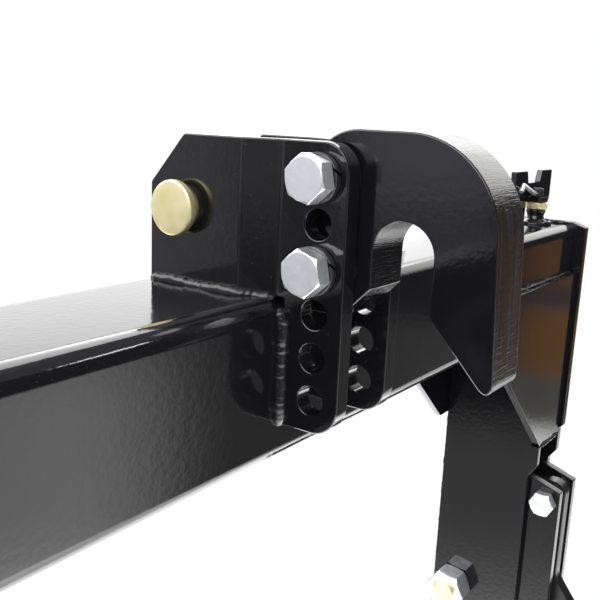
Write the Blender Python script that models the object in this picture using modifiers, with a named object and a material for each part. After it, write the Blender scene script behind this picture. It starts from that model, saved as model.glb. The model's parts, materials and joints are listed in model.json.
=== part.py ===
"""Three point quick hitch, Category 1.

A square crossbar carries the top hook between two bracket plates, and a leg at each end.
Each leg ends in a lower hook whose latch is lifted by a spring loaded pull rod.
Metres, +Z up, +X to the right along the crossbar, +Y towards the tractor.
The origin is the centre of the crossbar's rear face.
"""
import math

import bmesh
import bpy
from mathutils import Matrix, Vector

# Clearances
TOUCH = 0.0003
HOLE_PLAY = 0.0004

# Corner radii of cut plate
SHARP_CORNER = 0.001
CUT_CORNER = 0.002
FOOT_CORNER = 0.003
STEP_CORNER = 0.004
ARM_CORNER = 0.006
LATCH_CORNER = 0.008
NECK_CORNER = 0.012
WIDE_CORNER = 0.010
FULL_ROUND = 0.99

# Crossbar: square tube
BAR_SIZE = 0.080
BAR_WALL = 0.006
BAR_CORNER = 0.0095

# Legs: two cheeks with a web between them, closed in front and behind by gussets
LEG_CLEAR_WIDTH = 0.688
LEG_LENGTH = 0.344
INNER_CHEEK_THICKNESS = 0.006
OUTER_CHEEK_THICKNESS = 0.008
POCKET_WIDTH = 0.0443
BACK_WEB_THICKNESS = 0.006
GUSSET_THICKNESS = 0.006
GUSSET_LAP = 0.039
FRONT_GUSSET_CLEARANCE = 0.050
FRONT_GUSSET_REACH = 0.164
REAR_GUSSET_LIFT = 0.011
REAR_GUSSET_REACH = 0.166
REAR_GUSSET_FOOT = 0.014
END_PLATE_RISE = 0.002
END_PLATE_PROUD = 0.0032
END_PLATE_CORNER = 0.0125
CHEEK_STEP = 0.018

# Bracket plates, joggled outwards behind the front of the crossbar
PLATE_THICKNESS = 0.0095
PLATE_HEIGHT = 0.0708
PLATE_DROP = 0.0597
PLATE_REACH = 0.0314
PLATE_REAR_MARGIN = 0.0042
PLATE_CORNER = 0.0134
PLATE_CROP_RUN = 0.021
PLATE_CROP_DROP = 0.0236
JOGGLE = 0.0079
JOGGLE_SETBACK = 0.0022
JOGGLE_LENGTH = 0.0189
JOGGLE_STEPS = 4

# Column of holes for the top hook
HOLE_PITCH = 0.020
HOLE_COUNT = 6
HOLE_OFFSET = 0.0169
TOP_HOLE_DROP = 0.0154
HOOK_HOLE_STEP = 2

# Bolts, nuts and washers, half inch
BOLT_DIAMETER = 0.0127
BOLT_FLATS = 0.01905
BOLT_HEAD = 0.0084
HEX_CROWN = 0.96
PIVOT_NUT_TURN = math.radians(11)
NUT_HEIGHT = 0.0109
THREAD_END = 0.006
WASHER_OUTER = 0.025
SPACER_THICKNESS = 0.0017
LOCK_WASHER_OUTER = 0.022
LOCK_WASHER_THICKNESS = 0.0034
HEAD_TURNS = (math.radians(18), math.radians(18.5))

# Top hook
HOOK_THICKNESS = 0.028
HOOK_BAR_GAP = 0.002
HOOK_RISE = 0.0211
HOOK_BACK_ARC = 0.026
HOOK_NOSE_ARC = 0.042
HOOK_DEPTH = 0.0901
HOOK_LEAN = 0.0053
HOOK_TIP_DROP = 0.0875
HOOK_TIP_RADIUS = 0.004
HOOK_LEG_DROP = 0.0614
SLOT_WIDTH = 0.0291
SLOT_SETBACK = 0.0358
SLOT_ROOF_DROP = 0.016
SLOT_MOUTH_DROP = 0.0546
SLOT_CHAMFER_DROP = 0.0471

# Top link pin
PIN_DIAMETER = 0.01905
PIN_SETBACK = 0.025
PIN_HEIGHT = 0.0367
PIN_HEAD_DIAMETER = 0.026
PIN_HEAD_THICKNESS = 0.0045
PIN_HEAD_ROUNDING = 0.0012
PIN_HEAD_STANDOFF = 0.0039
PIN_TAIL = 0.0155
CLIP_SETBACK = 0.006
CLIP_WIRE = 0.0032

# Lower hooks
HOOK_PLATE_THICKNESS = 0.008
THROAT_REACH = 0.027
THROAT_WIDTH = 0.040
SEAT_HEIGHT = 0.049
HORN_THICKNESS = 0.020
HORN_HEIGHT = 0.084
HORN_CORNER = 0.007
HORN_LEAD_IN = 0.006
HOOK_SHOULDER_OVER_PIVOT = 0.011
HOOK_SHOULDER_RISE = 0.011
HOOK_CREST_RUN = 0.018
HOOK_CREST_RISE = 0.004
HOOK_HEEL_UNDER_PIVOT = 0.037

# Latch
LATCH_THICKNESS = 0.012
PIVOT_SETBACK = 0.013
PIVOT_HEIGHT = 0.187
LATCH_ARM = 0.042
LATCH_ARM_HEIGHT = 0.022
LATCH_BOSS = 0.014
LATCH_LEG_WIDTH = 0.024
LATCH_NOSE_REACH = 0.026
NOSE_TIP_HEIGHT = 0.007
NOSE_RAMP = 0.034
LINK_BUSHING = 0.0365
NOSE_GAP = 0.003
SPACER_OUTER = 0.020
SLOT_TRAVEL = 0.0025
SLOT_PLAY = 0.0005

# Pull rod with its fork, pin, collar and spring
ROD_DIAMETER = 0.010
ROD_TRAVEL = 0.0145
ROD_TOP = 0.030
ROD_CHAMFER = 0.001
FORK_EAR = 0.005
FORK_WIDTH = 0.016
FORK_BRIDGE = 0.008
FORK_DEPTH = 0.015
CROSS_PIN_DIAMETER = 0.008
CROSS_PIN_HEAD = 0.012
CROSS_PIN_HEAD_THICKNESS = 0.0019
COLLAR_DROP = 0.070
COLLAR_HEIGHT = 0.008
COLLAR_OUTER = 0.022
SPRING_RADIUS = 0.0095
SPRING_WIRE = 0.0024
SPRING_TURNS = 7
POINTS_PER_TURN = 10

# Pull handle
GUIDE_HEIGHT = 0.012
GUIDE_BASE = 0.024
GUIDE_WAIST = 0.0135
GUIDE_HEAD = 0.0165
HANDLE_THICKNESS = 0.005
HANDLE_OFFSET = 0.0045
HANDLE_HEIGHT = 0.0415
HANDLE_WIDTH = 0.084
HANDLE_HIP_WIDTH = 0.070
HANDLE_FOOT_WIDTH = 0.048
HANDLE_HIP_HEIGHT = 0.0055
HANDLE_FLARE_HEIGHT = 0.0175
NOTCH_TOP = 0.035
NOTCH_FLOOR = 0.027
NOTCH_DEPTH = 0.010
HANDLE_SKIRT = 0.0159
NUT_WINDOW_PLAY = 0.001
TAB_THICKNESS = 0.0045
TAB_WIDTH = 0.014
JAM_NUT_FLATS = 0.017
JAM_NUT_HEIGHT = 0.0055
HANDLE_CLIP_WIRE = 0.004
HANDLE_CLIP_SETBACK = 0.0045
HANDLE_CLIP_REACH = 0.034
HANDLE_CLIP_RISE = 0.008
HANDLE_CLIP_CROOK = 0.005

# Lower link pins
LINK_PIN_DIAMETER = 0.0222
LINK_PIN_SETBACK = 0.020
LINK_PIN_HEIGHT = 0.084
LINK_PIN_REACH = 0.055
LINK_PIN_COLLAR = 0.034
LINK_PIN_COLLAR_THICKNESS = 0.008
LINK_PIN_CHAMFER = 0.002
LINK_NUT_FLATS = 0.032
LINK_NUT_HEIGHT = 0.019
LINK_NUT_TURN = math.radians(6)
LINCHPIN_DIAMETER = 0.008
LINCHPIN_SETBACK = 0.010
LINCHPIN_HEAD = 0.016
LINCHPIN_WIRE = 0.004
LINCHPIN_RING = 0.021

# Facets
ROUND_SIDES = 24
SMALL_SIDES = 16
TINY_SIDES = 12
ARC_STEP = math.radians(18)

# Places worked out from the sizes
TOP_Z = BAR_SIZE / 2
UNDER_Z = -BAR_SIZE / 2
REAR_Y = 0.0
MID_Y = -BAR_SIZE / 2
FRONT_Y = -BAR_SIZE
CHEEK_X = LEG_CLEAR_WIDTH / 2
POCKET_INNER_X = CHEEK_X + INNER_CHEEK_THICKNESS
POCKET_OUTER_X = POCKET_INNER_X + POCKET_WIDTH
BAR_HALF_LENGTH = POCKET_OUTER_X - TOUCH
FOOT_Z = UNDER_Z - LEG_LENGTH
PLATE_TOP_Z = TOP_Z + PLATE_HEIGHT
PLATE_FRONT_X = HOOK_THICKNESS / 2 + SPACER_THICKNESS + 2 * TOUCH
HOLE_Y = FRONT_Y - HOLE_OFFSET
TOP_HOLE_Z = PLATE_TOP_Z - TOP_HOLE_DROP
BOLT_HEIGHTS = (TOP_HOLE_Z, TOP_HOLE_Z - HOOK_HOLE_STEP * HOLE_PITCH)
PIN_Y = REAR_Y - PIN_SETBACK
PIN_Z = TOP_Z + PIN_HEIGHT
INNER_HOOK_X = POCKET_INNER_X + TOUCH + HOOK_PLATE_THICKNESS / 2
OUTER_HOOK_X = POCKET_OUTER_X - TOUCH - HOOK_PLATE_THICKNESS / 2
ROD_X = (INNER_HOOK_X + OUTER_HOOK_X) / 2
THROAT_Y = FRONT_Y - THROAT_REACH
PIVOT_Y = THROAT_Y + PIVOT_SETBACK
PIVOT_Z = FOOT_Z + PIVOT_HEIGHT
ROD_Y = PIVOT_Y + LATCH_ARM
SEAT_Z = FOOT_Z + SEAT_HEIGHT
LINK_PIN_Y = REAR_Y - LINK_PIN_SETBACK
LINK_PIN_Z = FOOT_Z + LINK_PIN_HEIGHT
JAM_NUT_Z = TOP_Z + 2 * TOUCH + GUIDE_HEIGHT
TAB_Z = JAM_NUT_Z + JAM_NUT_HEIGHT + TOUCH
HOLE_RADIUS = BOLT_DIAMETER / 2 + HOLE_PLAY
ROD_HOLE_RADIUS = ROD_DIAMETER / 2 + HOLE_PLAY

# Turns that lay a piece's own axis or face along an axis of the part
TURN = {
    "X": Matrix.Rotation(math.radians(90), 4, "Y"),
    "Z": Matrix.Identity(4),
}
FACE = {
    "X": Matrix(((0, 0, 1, 0), (1, 0, 0, 0), (0, 1, 0, 0), (0, 0, 0, 1))),
    "Y": Matrix(((1, 0, 0, 0), (0, 0, -1, 0), (0, 1, 0, 0), (0, 0, 0, 1))),
    "Z": Matrix.Identity(4),
}


def new_collection(name):
    collection = bpy.data.collections.new(name)
    bpy.context.scene.collection.children.link(collection)
    return collection


def new_material(name, colour, roughness, metallic):
    material = bpy.data.materials.new(name)
    material.use_nodes = True
    shader = material.node_tree.nodes["Principled BSDF"]
    shader.inputs["Base Color"].default_value = (*colour, 1.0)
    shader.inputs["Roughness"].default_value = roughness
    shader.inputs["Metallic"].default_value = metallic
    return material


def place(name, data, at, turn):
    """Link a new object into the parts collection, at its place."""
    item = bpy.data.objects.new(name, data)
    item.matrix_world = Matrix.Translation(at) @ turn
    parts.objects.link(item)
    return item


def as_cutter(item):
    """Move a helper shape out of the parts and into the cutters."""
    parts.objects.unlink(item)
    cutters.objects.link(item)
    item.hide_render = True
    item.display_type = "WIRE"
    return item


def boolean(target, tool, operation):
    """Apply one exact Boolean of a helper shape on a piece, and keep the helper as a cutter."""
    modifier = target.modifiers.new(operation.lower(), "BOOLEAN")
    modifier.operation = operation
    modifier.object = as_cutter(tool)
    return target


def solid_mesh(item):
    """The piece as it stands after its modifiers, welded, as a mesh of its own."""
    bpy.context.view_layer.update()
    depsgraph = bpy.context.evaluated_depsgraph_get()
    mesh = bpy.data.meshes.new_from_object(item.evaluated_get(depsgraph))
    shape = bmesh.new()
    shape.from_mesh(mesh)
    bmesh.ops.remove_doubles(shape, verts=shape.verts, dist=1e-6)
    bmesh.ops.recalc_face_normals(shape, faces=shape.faces)
    shape.to_mesh(mesh)
    shape.free()
    return mesh


def as_solid(item):
    """Replace a curve or a modified piece by its welded mesh, in the same place."""
    name = item.name
    mesh = solid_mesh(item)
    matrix = item.matrix_world.copy()
    bpy.data.objects.remove(item, do_unlink=True)
    solid = bpy.data.objects.new(name, mesh)
    solid.matrix_world = matrix
    parts.objects.link(solid)
    return solid


def rounded(corners):
    """Outline through (u, v, radius) corners, with an arc of that radius at each."""
    outline = []
    for index, (u, v, radius) in enumerate(corners):
        here = Vector((u, v))
        back = (Vector(corners[index - 1][:2]) - here).normalized()
        ahead = (Vector(corners[(index + 1) % len(corners)][:2]) - here).normalized()
        if not radius:
            outline.append((u, v))
            continue
        half_angle = back.angle(ahead) / 2
        centre = here + (back + ahead).normalized() * radius / math.sin(half_angle)
        start = here + back * radius / math.tan(half_angle) - centre
        sweep = start.angle_signed(here + ahead * radius / math.tan(half_angle) - centre)
        steps = max(2, round(abs(sweep) / ARC_STEP))
        for step in range(steps + 1):
            turned_by = Matrix.Rotation(-sweep * step / steps, 2)
            outline.append(tuple(centre + turned_by @ start))
    return outline


def circle(centre, radius, sides=SMALL_SIDES):
    """Round outline."""
    angles = [2 * math.pi * index / sides for index in range(sides)]
    return [(centre[0] + radius * math.cos(a), centre[1] + radius * math.sin(a)) for a in angles]


def rectangle(low, high, radius=0.0):
    """Outline of a box section, with rounded corners if asked."""
    corners = ((low[0], low[1]), (high[0], low[1]), (high[0], high[1]), (low[0], high[1]))
    return rounded([(u, v, radius) for u, v in corners])


def plate(name, outline, thickness, at, facing, holes=()):
    """Flat piece of sheet, square to the facing axis, with its middle at the given place."""
    curve = bpy.data.curves.new(name, "CURVE")
    curve.dimensions = "2D"
    curve.fill_mode = "BOTH"
    curve.extrude = thickness / 2
    for loop in (outline, *holes):
        spline = curve.splines.new("POLY")
        spline.points.add(len(loop) - 1)
        for point, (u, v) in zip(spline.points, loop):
            point.co = (u, v, 0, 1)
        spline.use_cyclic_u = True
    return as_solid(place(name, curve, at, FACE[facing]))


def cylinder(name, radius, length, at, axis, sides=ROUND_SIDES):
    """Round bar with its middle at the given place."""
    mesh = bpy.data.meshes.new(name)
    shape = bmesh.new()
    bmesh.ops.create_cone(
        shape, cap_ends=True, segments=sides, radius1=radius, radius2=radius, depth=length)
    shape.to_mesh(mesh)
    shape.free()
    return place(name, mesh, at, TURN[axis])


def turned(name, profile, at, axis, closed=False, sides=ROUND_SIDES):
    """Lathe work: a profile of (radius, height) points, from the top down its outer side."""
    mesh = bpy.data.meshes.new(name)
    points = [(radius, 0, height) for radius, height in profile]
    edges = [(index, index + 1) for index in range(len(points) - 1)]
    if closed:
        edges.append((len(points) - 1, 0))
    mesh.from_pydata(points, edges, [])
    item = place(name, mesh, at, TURN[axis])
    screw = item.modifiers.new("turn", "SCREW")
    screw.steps = sides
    screw.render_steps = sides
    screw.use_merge_vertices = True
    screw.merge_threshold = 1e-6
    return as_solid(item)


def ring(name, outer, inner, thickness, at, axis, sides=ROUND_SIDES):
    """Washer, spacer or collar, with its middle at the given place."""
    half = thickness / 2
    profile = ((inner, half), (outer, half), (outer, -half), (inner, -half))
    return turned(name, profile, at, axis, closed=True, sides=sides)


def hexagon(name, flats, height, at, axis, turn=0.0, bore=0.0, facing=1):
    """Bolt head or nut: a hexagonal prism with its outer corners turned off at 30 degrees."""
    corner = flats / math.sqrt(3)
    item = cylinder(name, corner, height, at, axis, sides=6)
    item.matrix_world = item.matrix_world @ Matrix.Rotation(turn, 4, "Z")
    half = height / 2
    crown = HEX_CROWN * flats / 2
    bevel = (corner - crown) * math.tan(math.radians(30))
    profile = [
        (0, half),
        (crown, half),
        (corner + bevel, half - 2 * bevel),
        (corner + bevel, -half - bevel),
        (0, -half - bevel),
    ]
    if facing < 0:
        profile = [(radius, -along) for radius, along in reversed(profile)]
    boolean(item, turned(name + "_corners", profile, at, axis), "INTERSECT")
    if bore:
        drill = cylinder(name + "_bore", bore, 2 * height, at, axis, sides=SMALL_SIDES)
        boolean(item, drill, "DIFFERENCE")
    return as_solid(item)


def wire(name, points, thickness, at, closed=False):
    """Bent wire along a list of points."""
    curve = bpy.data.curves.new(name, "CURVE")
    curve.dimensions = "3D"
    curve.bevel_depth = thickness / 2
    curve.bevel_resolution = 1
    curve.use_fill_caps = True
    spline = curve.splines.new("POLY")
    spline.points.add(len(points) - 1)
    for point, place_on_wire in zip(spline.points, points):
        point.co = (*place_on_wire, 1)
    spline.use_cyclic_u = closed
    return as_solid(place(name, curve, at, Matrix.Identity(4)))


def finish(item, material, parent=None):
    """Give a piece its finish and its smooth shading, and hang it on its axis."""
    item.data.materials.clear()
    item.data.materials.append(material)
    item.data.shade_smooth()
    item.data.set_sharp_from_angle(angle=math.radians(30))
    if parent:
        bpy.context.view_layer.update()
        item.parent = parent
        item.matrix_parent_inverse = parent.matrix_world.inverted()
    return item


def axis_empty(name, at):
    """Empty on a joint's axis, which carries the pieces that move together."""
    item = bpy.data.objects.new(name, None)
    item.location = at
    parts.objects.link(item)
    return item


def make_crossbar():
    """Square tube with a hole through its top and bottom wall for each pull rod."""
    half = BAR_SIZE / 2
    bore = half - BAR_WALL
    outer = rectangle((-half, -half), (half, half), BAR_CORNER)
    inner = rectangle((-bore, -bore), (bore, bore), BAR_CORNER - BAR_WALL)
    bar = plate("crossbar", outer, 2 * BAR_HALF_LENGTH, (0, MID_Y, 0), "X", holes=(inner,))
    for side in (-1, 1):
        hole_at = (side * ROD_X, ROD_Y, 0)
        drill = cylinder("rod_drill", ROD_HOLE_RADIUS, 2 * BAR_SIZE, hole_at, "Z", sides=SMALL_SIDES)
        boolean(bar, drill, "DIFFERENCE")
    finish(as_solid(bar), gloss_black)


def joggled(item, side):
    """Bend a bracket plate outwards behind the front of the crossbar, in soft steps."""
    start = FRONT_Y + JOGGLE_SETBACK
    shape = bmesh.new()
    shape.from_mesh(item.data)
    shape.transform(item.matrix_world)
    for step in range(JOGGLE_STEPS + 1):
        cut_y = start + JOGGLE_LENGTH * step / JOGGLE_STEPS
        everything = shape.verts[:] + shape.edges[:] + shape.faces[:]
        bmesh.ops.bisect_plane(shape, geom=everything, dist=1e-6, plane_co=(0, cut_y, 0), plane_no=(0, 1, 0))
    for corner in shape.verts:
        along = min(1.0, max(0.0, (corner.co.y - start) / JOGGLE_LENGTH))
        corner.co.x += side * JOGGLE * (1 - math.cos(math.pi * along)) / 2
    shape.transform(item.matrix_world.inverted())
    shape.to_mesh(item.data)
    shape.free()
    return item


def make_bracket_plates():
    """Cropped plates welded astride the crossbar, with the hook's holes and the pin's hole."""
    rear = REAR_Y - PLATE_REAR_MARGIN
    front = FRONT_Y - PLATE_REACH
    bottom = TOP_Z - PLATE_DROP
    outline = rounded((
        (rear, TOP_Z + TOUCH, 0),
        (rear, PLATE_TOP_Z - PLATE_CROP_DROP, CUT_CORNER),
        (rear - PLATE_CROP_RUN, PLATE_TOP_Z, FOOT_CORNER),
        (front, PLATE_TOP_Z, PLATE_CORNER),
        (front, bottom, PLATE_CORNER),
        (FRONT_Y - TOUCH, bottom, 0),
        (FRONT_Y - TOUCH, TOP_Z + TOUCH, 0),
    ))
    holes = [circle((HOLE_Y, TOP_HOLE_Z - HOLE_PITCH * index), HOLE_RADIUS) for index in range(HOLE_COUNT)]
    holes.append(circle((PIN_Y, PIN_Z), PIN_DIAMETER / 2 + HOLE_PLAY, ROUND_SIDES))
    for name, side in SIDES:
        at = (side * (PLATE_FRONT_X + PLATE_THICKNESS / 2), 0, 0)
        item = plate(name + "_bracket_plate", outline, PLATE_THICKNESS, at, "X", holes=holes)
        finish(joggled(item, side), gloss_black)


def make_top_hook():
    """Thick hook plate, cut from one outline: slot that opens downwards, with a slanted lead-in."""
    back = FRONT_Y - HOOK_BAR_GAP
    top = TOP_HOLE_Z + HOOK_RISE
    nose = back - HOOK_DEPTH
    tip = nose - HOOK_LEAN
    slot_back = back - SLOT_SETBACK
    slot_front = slot_back - SLOT_WIDTH
    roof = TOP_HOLE_Z - SLOT_ROOF_DROP
    mouth = TOP_HOLE_Z - SLOT_MOUTH_DROP
    chamfer = TOP_HOLE_Z - SLOT_CHAMFER_DROP
    bottom = TOP_HOLE_Z - HOOK_LEG_DROP
    arch = SLOT_WIDTH / 2 - 0.00001
    outline = rounded((
        (back, bottom, FOOT_CORNER),
        (back, top, HOOK_BACK_ARC),
        (nose, top, HOOK_NOSE_ARC),
        (tip, TOP_HOLE_Z - HOOK_TIP_DROP, HOOK_TIP_RADIUS),
        (slot_front, mouth, SHARP_CORNER),
        (slot_front, roof, arch),
        (slot_back, roof, arch),
        (slot_back, chamfer, SHARP_CORNER),
        (slot_back + chamfer - bottom, bottom, SHARP_CORNER),
    ))
    holes = [circle((HOLE_Y, height), HOLE_RADIUS) for height in BOLT_HEIGHTS]
    finish(plate("top_hook", outline, HOOK_THICKNESS, (0, 0, 0), "X", holes=holes), flame_cut_black)


def make_hook_bolts():
    """Two bolts through both bracket plates and the hook: lock washers under the heads, spacers beside the hook."""
    outer = PLATE_FRONT_X + PLATE_THICKNESS
    washer_x = outer + TOUCH + LOCK_WASHER_THICKNESS / 2
    head_seat = outer + 2 * TOUCH + LOCK_WASHER_THICKNESS
    nut_seat = outer + TOUCH
    shank_end = nut_seat + NUT_HEIGHT + THREAD_END
    spacer_x = HOOK_THICKNESS / 2 + TOUCH + SPACER_THICKNESS / 2
    bore = BOLT_DIAMETER / 2 + TOUCH
    for name, height, turn in zip(("upper", "lower"), BOLT_HEIGHTS, HEAD_TURNS):
        head_at = (-head_seat - BOLT_HEAD / 2, HOLE_Y, height)
        bolt = hexagon(name + "_hook_bolt", BOLT_FLATS, BOLT_HEAD, head_at, "X", turn, facing=-1)
        length = shank_end + head_seat + BOLT_HEAD / 2
        shank_at = (shank_end - length / 2, HOLE_Y, height)
        shank = cylinder("shank", BOLT_DIAMETER / 2, length, shank_at, "X", sides=SMALL_SIDES)
        finish(as_solid(boolean(bolt, shank, "UNION")), bright_zinc)
        nut_at = (nut_seat + NUT_HEIGHT / 2, HOLE_Y, height)
        finish(hexagon(name + "_hook_nut", BOLT_FLATS, NUT_HEIGHT, nut_at, "X", -turn, bore), bright_zinc)
        at = (-washer_x, HOLE_Y, height)
        washer = ring(name + "_hook_washer", LOCK_WASHER_OUTER / 2, bore, LOCK_WASHER_THICKNESS, at, "X")
        finish(washer, spring_steel)
        for side_name, side in SIDES:
            node = side_name + "_" + name + "_hook_spacer"
            at = (side * spacer_x, HOLE_Y, height)
            spacer = ring(node, WASHER_OUTER / 2, bore, SPACER_THICKNESS, at, "X", sides=SMALL_SIDES)
            finish(spacer, bright_zinc)


def hairpin(radius, thickness, reach):
    """Path of a spring clip: a straight leg through a hole, and a leg bent round the shaft."""
    hug = radius + thickness / 2 + TOUCH
    loop = hug / 2
    points = [(0.0, -reach), (0.0, reach)]
    steps = 8
    for step in range(1, steps + 1):
        angle = math.pi * (1 - step / steps)
        points.append((loop + loop * math.cos(angle), reach + loop * math.sin(angle)))
    bend = math.radians(35)
    for step in range(steps + 1):
        angle = bend * (1 - 2 * step / steps)
        points.append((hug * math.cos(angle), hug * math.sin(angle)))
    points.append((hug, -reach))
    return points


def make_top_link_pin():
    """Loose pin with a round head, held by a spring clip behind the far plate."""
    outer = PLATE_FRONT_X + JOGGLE + PLATE_THICKNESS
    back_of_head = -outer - PIN_HEAD_STANDOFF
    face = back_of_head - PIN_HEAD_THICKNESS
    tail = outer + PIN_TAIL
    head = PIN_HEAD_DIAMETER / 2
    shank = PIN_DIAMETER / 2
    profile = (
        (0, tail),
        (shank - LINK_PIN_CHAMFER, tail),
        (shank, tail - LINK_PIN_CHAMFER),
        (shank, back_of_head),
        (head - PIN_HEAD_ROUNDING, back_of_head),
        (head, back_of_head - PIN_HEAD_ROUNDING),
        (head, face + PIN_HEAD_ROUNDING),
        (head - PIN_HEAD_ROUNDING, face),
        (0, face),
    )
    spin_axis = axis_empty("top_link_pin_axis", (0, PIN_Y, PIN_Z))
    pin = turned("top_link_pin", profile, (0, PIN_Y, PIN_Z), "X")
    clip_x = tail - CLIP_SETBACK
    drill_at = (clip_x, PIN_Y, PIN_Z)
    drill = cylinder("clip_drill", CLIP_WIRE / 2 + TOUCH, 2 * PIN_DIAMETER, drill_at, "Z", sides=TINY_SIDES)
    finish(as_solid(boolean(pin, drill, "DIFFERENCE")), yellow_zinc, spin_axis)
    path = [(0.0, y, z) for y, z in hairpin(shank, CLIP_WIRE, PIN_DIAMETER * 0.75)]
    finish(wire("top_link_pin_clip", path, CLIP_WIRE, drill_at), bright_zinc, spin_axis)


def make_gussets(name, side):
    """Triangular plates that tie each leg to the front and the rear of the crossbar."""
    top = UNDER_Z + GUSSET_LAP
    outer = side * (POCKET_OUTER_X - TOUCH)
    bottom = PIVOT_Z + FRONT_GUSSET_CLEARANCE
    front = rounded((
        (side * (CHEEK_X - FRONT_GUSSET_REACH), top, 0),
        (outer, top, 0),
        (outer, bottom, 0),
        (side * (CHEEK_X + INNER_CHEEK_THICKNESS / 3), bottom, 0),
    ))
    setback = TOUCH + GUSSET_THICKNESS / 2
    at = (0, FRONT_Y - setback, 0)
    finish(plate(name + "_front_gusset", front, GUSSET_THICKNESS, at, "Y"), gloss_black)
    bottom = PIVOT_Z + FRONT_GUSSET_CLEARANCE + REAR_GUSSET_LIFT
    rear = rounded((
        (side * (CHEEK_X - REAR_GUSSET_REACH), top, 0),
        (outer, top, 0),
        (outer, bottom, 0),
        (side * (CHEEK_X - REAR_GUSSET_FOOT), bottom, 0),
    ))
    at = (0, REAR_Y + setback, 0)
    finish(plate(name + "_rear_gusset", rear, GUSSET_THICKNESS, at, "Y"), gloss_black)


def cheek_front():
    """Front edge of a cheek: flush with the gusset below it, then back to the leg's own face."""
    gusset_end = PIVOT_Z + FRONT_GUSSET_CLEARANCE - TOUCH
    flush = FRONT_Y - TOUCH - GUSSET_THICKNESS
    return gusset_end, flush


def make_cheeks(name, side):
    """The leg's two side plates and the web that joins them behind."""
    gusset_end, flush = cheek_front()
    step_end = gusset_end - CHEEK_STEP
    link_hole = circle((LINK_PIN_Y, LINK_PIN_Z), LINK_PIN_DIAMETER / 2 + HOLE_PLAY, ROUND_SIDES)
    inner = rounded((
        (REAR_Y, UNDER_Z - TOUCH, 0),
        (FRONT_Y, UNDER_Z - TOUCH, 0),
        (FRONT_Y, gusset_end, 0),
        (flush, gusset_end, 0),
        (flush, step_end, CUT_CORNER),
        (FRONT_Y, step_end - CHEEK_STEP / 2, STEP_CORNER),
        (FRONT_Y, FOOT_Z, FOOT_CORNER),
        (REAR_Y, FOOT_Z, FOOT_CORNER),
    ))
    at = (side * (CHEEK_X + INNER_CHEEK_THICKNESS / 2), 0, 0)
    cheek = plate(name + "_inner_cheek", inner, INNER_CHEEK_THICKNESS, at, "X", holes=(link_hole,))
    finish(cheek, gloss_black)
    proud_front = flush - END_PLATE_PROUD
    proud_rear = REAR_Y + TOUCH + GUSSET_THICKNESS + END_PLATE_PROUD
    top = TOP_Z + END_PLATE_RISE
    crop = END_PLATE_CORNER
    outer = rounded((
        (proud_rear - crop, top, CUT_CORNER),
        (proud_front + crop, top, CUT_CORNER),
        (proud_front, top - crop / 3, SHARP_CORNER),
        (proud_front, gusset_end + 2 * END_PLATE_PROUD, SHARP_CORNER),
        (flush, gusset_end + END_PLATE_PROUD, SHARP_CORNER),
        (flush, step_end, CUT_CORNER),
        (FRONT_Y, step_end - CHEEK_STEP / 2, STEP_CORNER),
        (FRONT_Y, FOOT_Z, FOOT_CORNER),
        (REAR_Y, FOOT_Z, FOOT_CORNER),
        (REAR_Y, step_end - CHEEK_STEP / 2, STEP_CORNER),
        (proud_rear, step_end, CUT_CORNER),
        (proud_rear, top - crop / 3, SHARP_CORNER),
    ))
    at = (side * (POCKET_OUTER_X + OUTER_CHEEK_THICKNESS / 2), 0, 0)
    cheek = plate(name + "_outer_cheek", outer, OUTER_CHEEK_THICKNESS, at, "X", holes=(link_hole,))
    finish(cheek, gloss_black)
    middle = side * (POCKET_INNER_X + POCKET_WIDTH / 2)
    half = POCKET_WIDTH / 2 - TOUCH
    web = rectangle((middle - half, FOOT_Z), (middle + half, UNDER_Z - TOUCH))
    at = (0, REAR_Y - BACK_WEB_THICKNESS / 2, 0)
    finish(plate(name + "_back_web", web, BACK_WEB_THICKNESS, at, "Y"), gloss_black)


def make_lower_hook(name, side):
    """Two hook plates between the cheeks, with an upward throat that holds the implement's pin."""
    shoulder = PIVOT_Z + HOOK_SHOULDER_OVER_PIVOT
    crest = shoulder + HOOK_SHOULDER_RISE
    throat_front = THROAT_Y - THROAT_WIDTH
    horn_front = throat_front - HORN_THICKNESS
    horn_top = FOOT_Z + HORN_HEIGHT
    floor = SEAT_Z - THROAT_WIDTH / 2
    seat = THROAT_WIDTH / 2 - 0.00001
    heel = REAR_Y - BACK_WEB_THICKNESS - TOUCH
    outline = rounded((
        (heel, FOOT_Z, 0),
        (heel, PIVOT_Z - HOOK_HEEL_UNDER_PIVOT, WIDE_CORNER),
        (FRONT_Y + HOOK_CREST_RUN, crest + HOOK_CREST_RISE, WIDE_CORNER),
        (THROAT_Y, shoulder, SHARP_CORNER),
        (THROAT_Y, floor, seat),
        (throat_front, floor, seat),
        (throat_front, horn_top - HORN_LEAD_IN, CUT_CORNER),
        (throat_front - HORN_LEAD_IN, horn_top, CUT_CORNER),
        (horn_front, horn_top, HORN_CORNER),
        (horn_front, FOOT_Z, 2 * HORN_CORNER),
    ))
    holes = (
        circle((PIVOT_Y, PIVOT_Z), HOLE_RADIUS),
        circle((LINK_PIN_Y, LINK_PIN_Z), LINK_PIN_DIAMETER / 2 + HOLE_PLAY, ROUND_SIDES),
    )
    for place_name, x in (("inner", INNER_HOOK_X), ("outer", OUTER_HOOK_X)):
        node = name + "_" + place_name + "_hook_plate"
        at = (side * x, 0, 0)
        finish(plate(node, outline, HOOK_PLATE_THICKNESS, at, "X", holes=holes), gloss_black)


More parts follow.
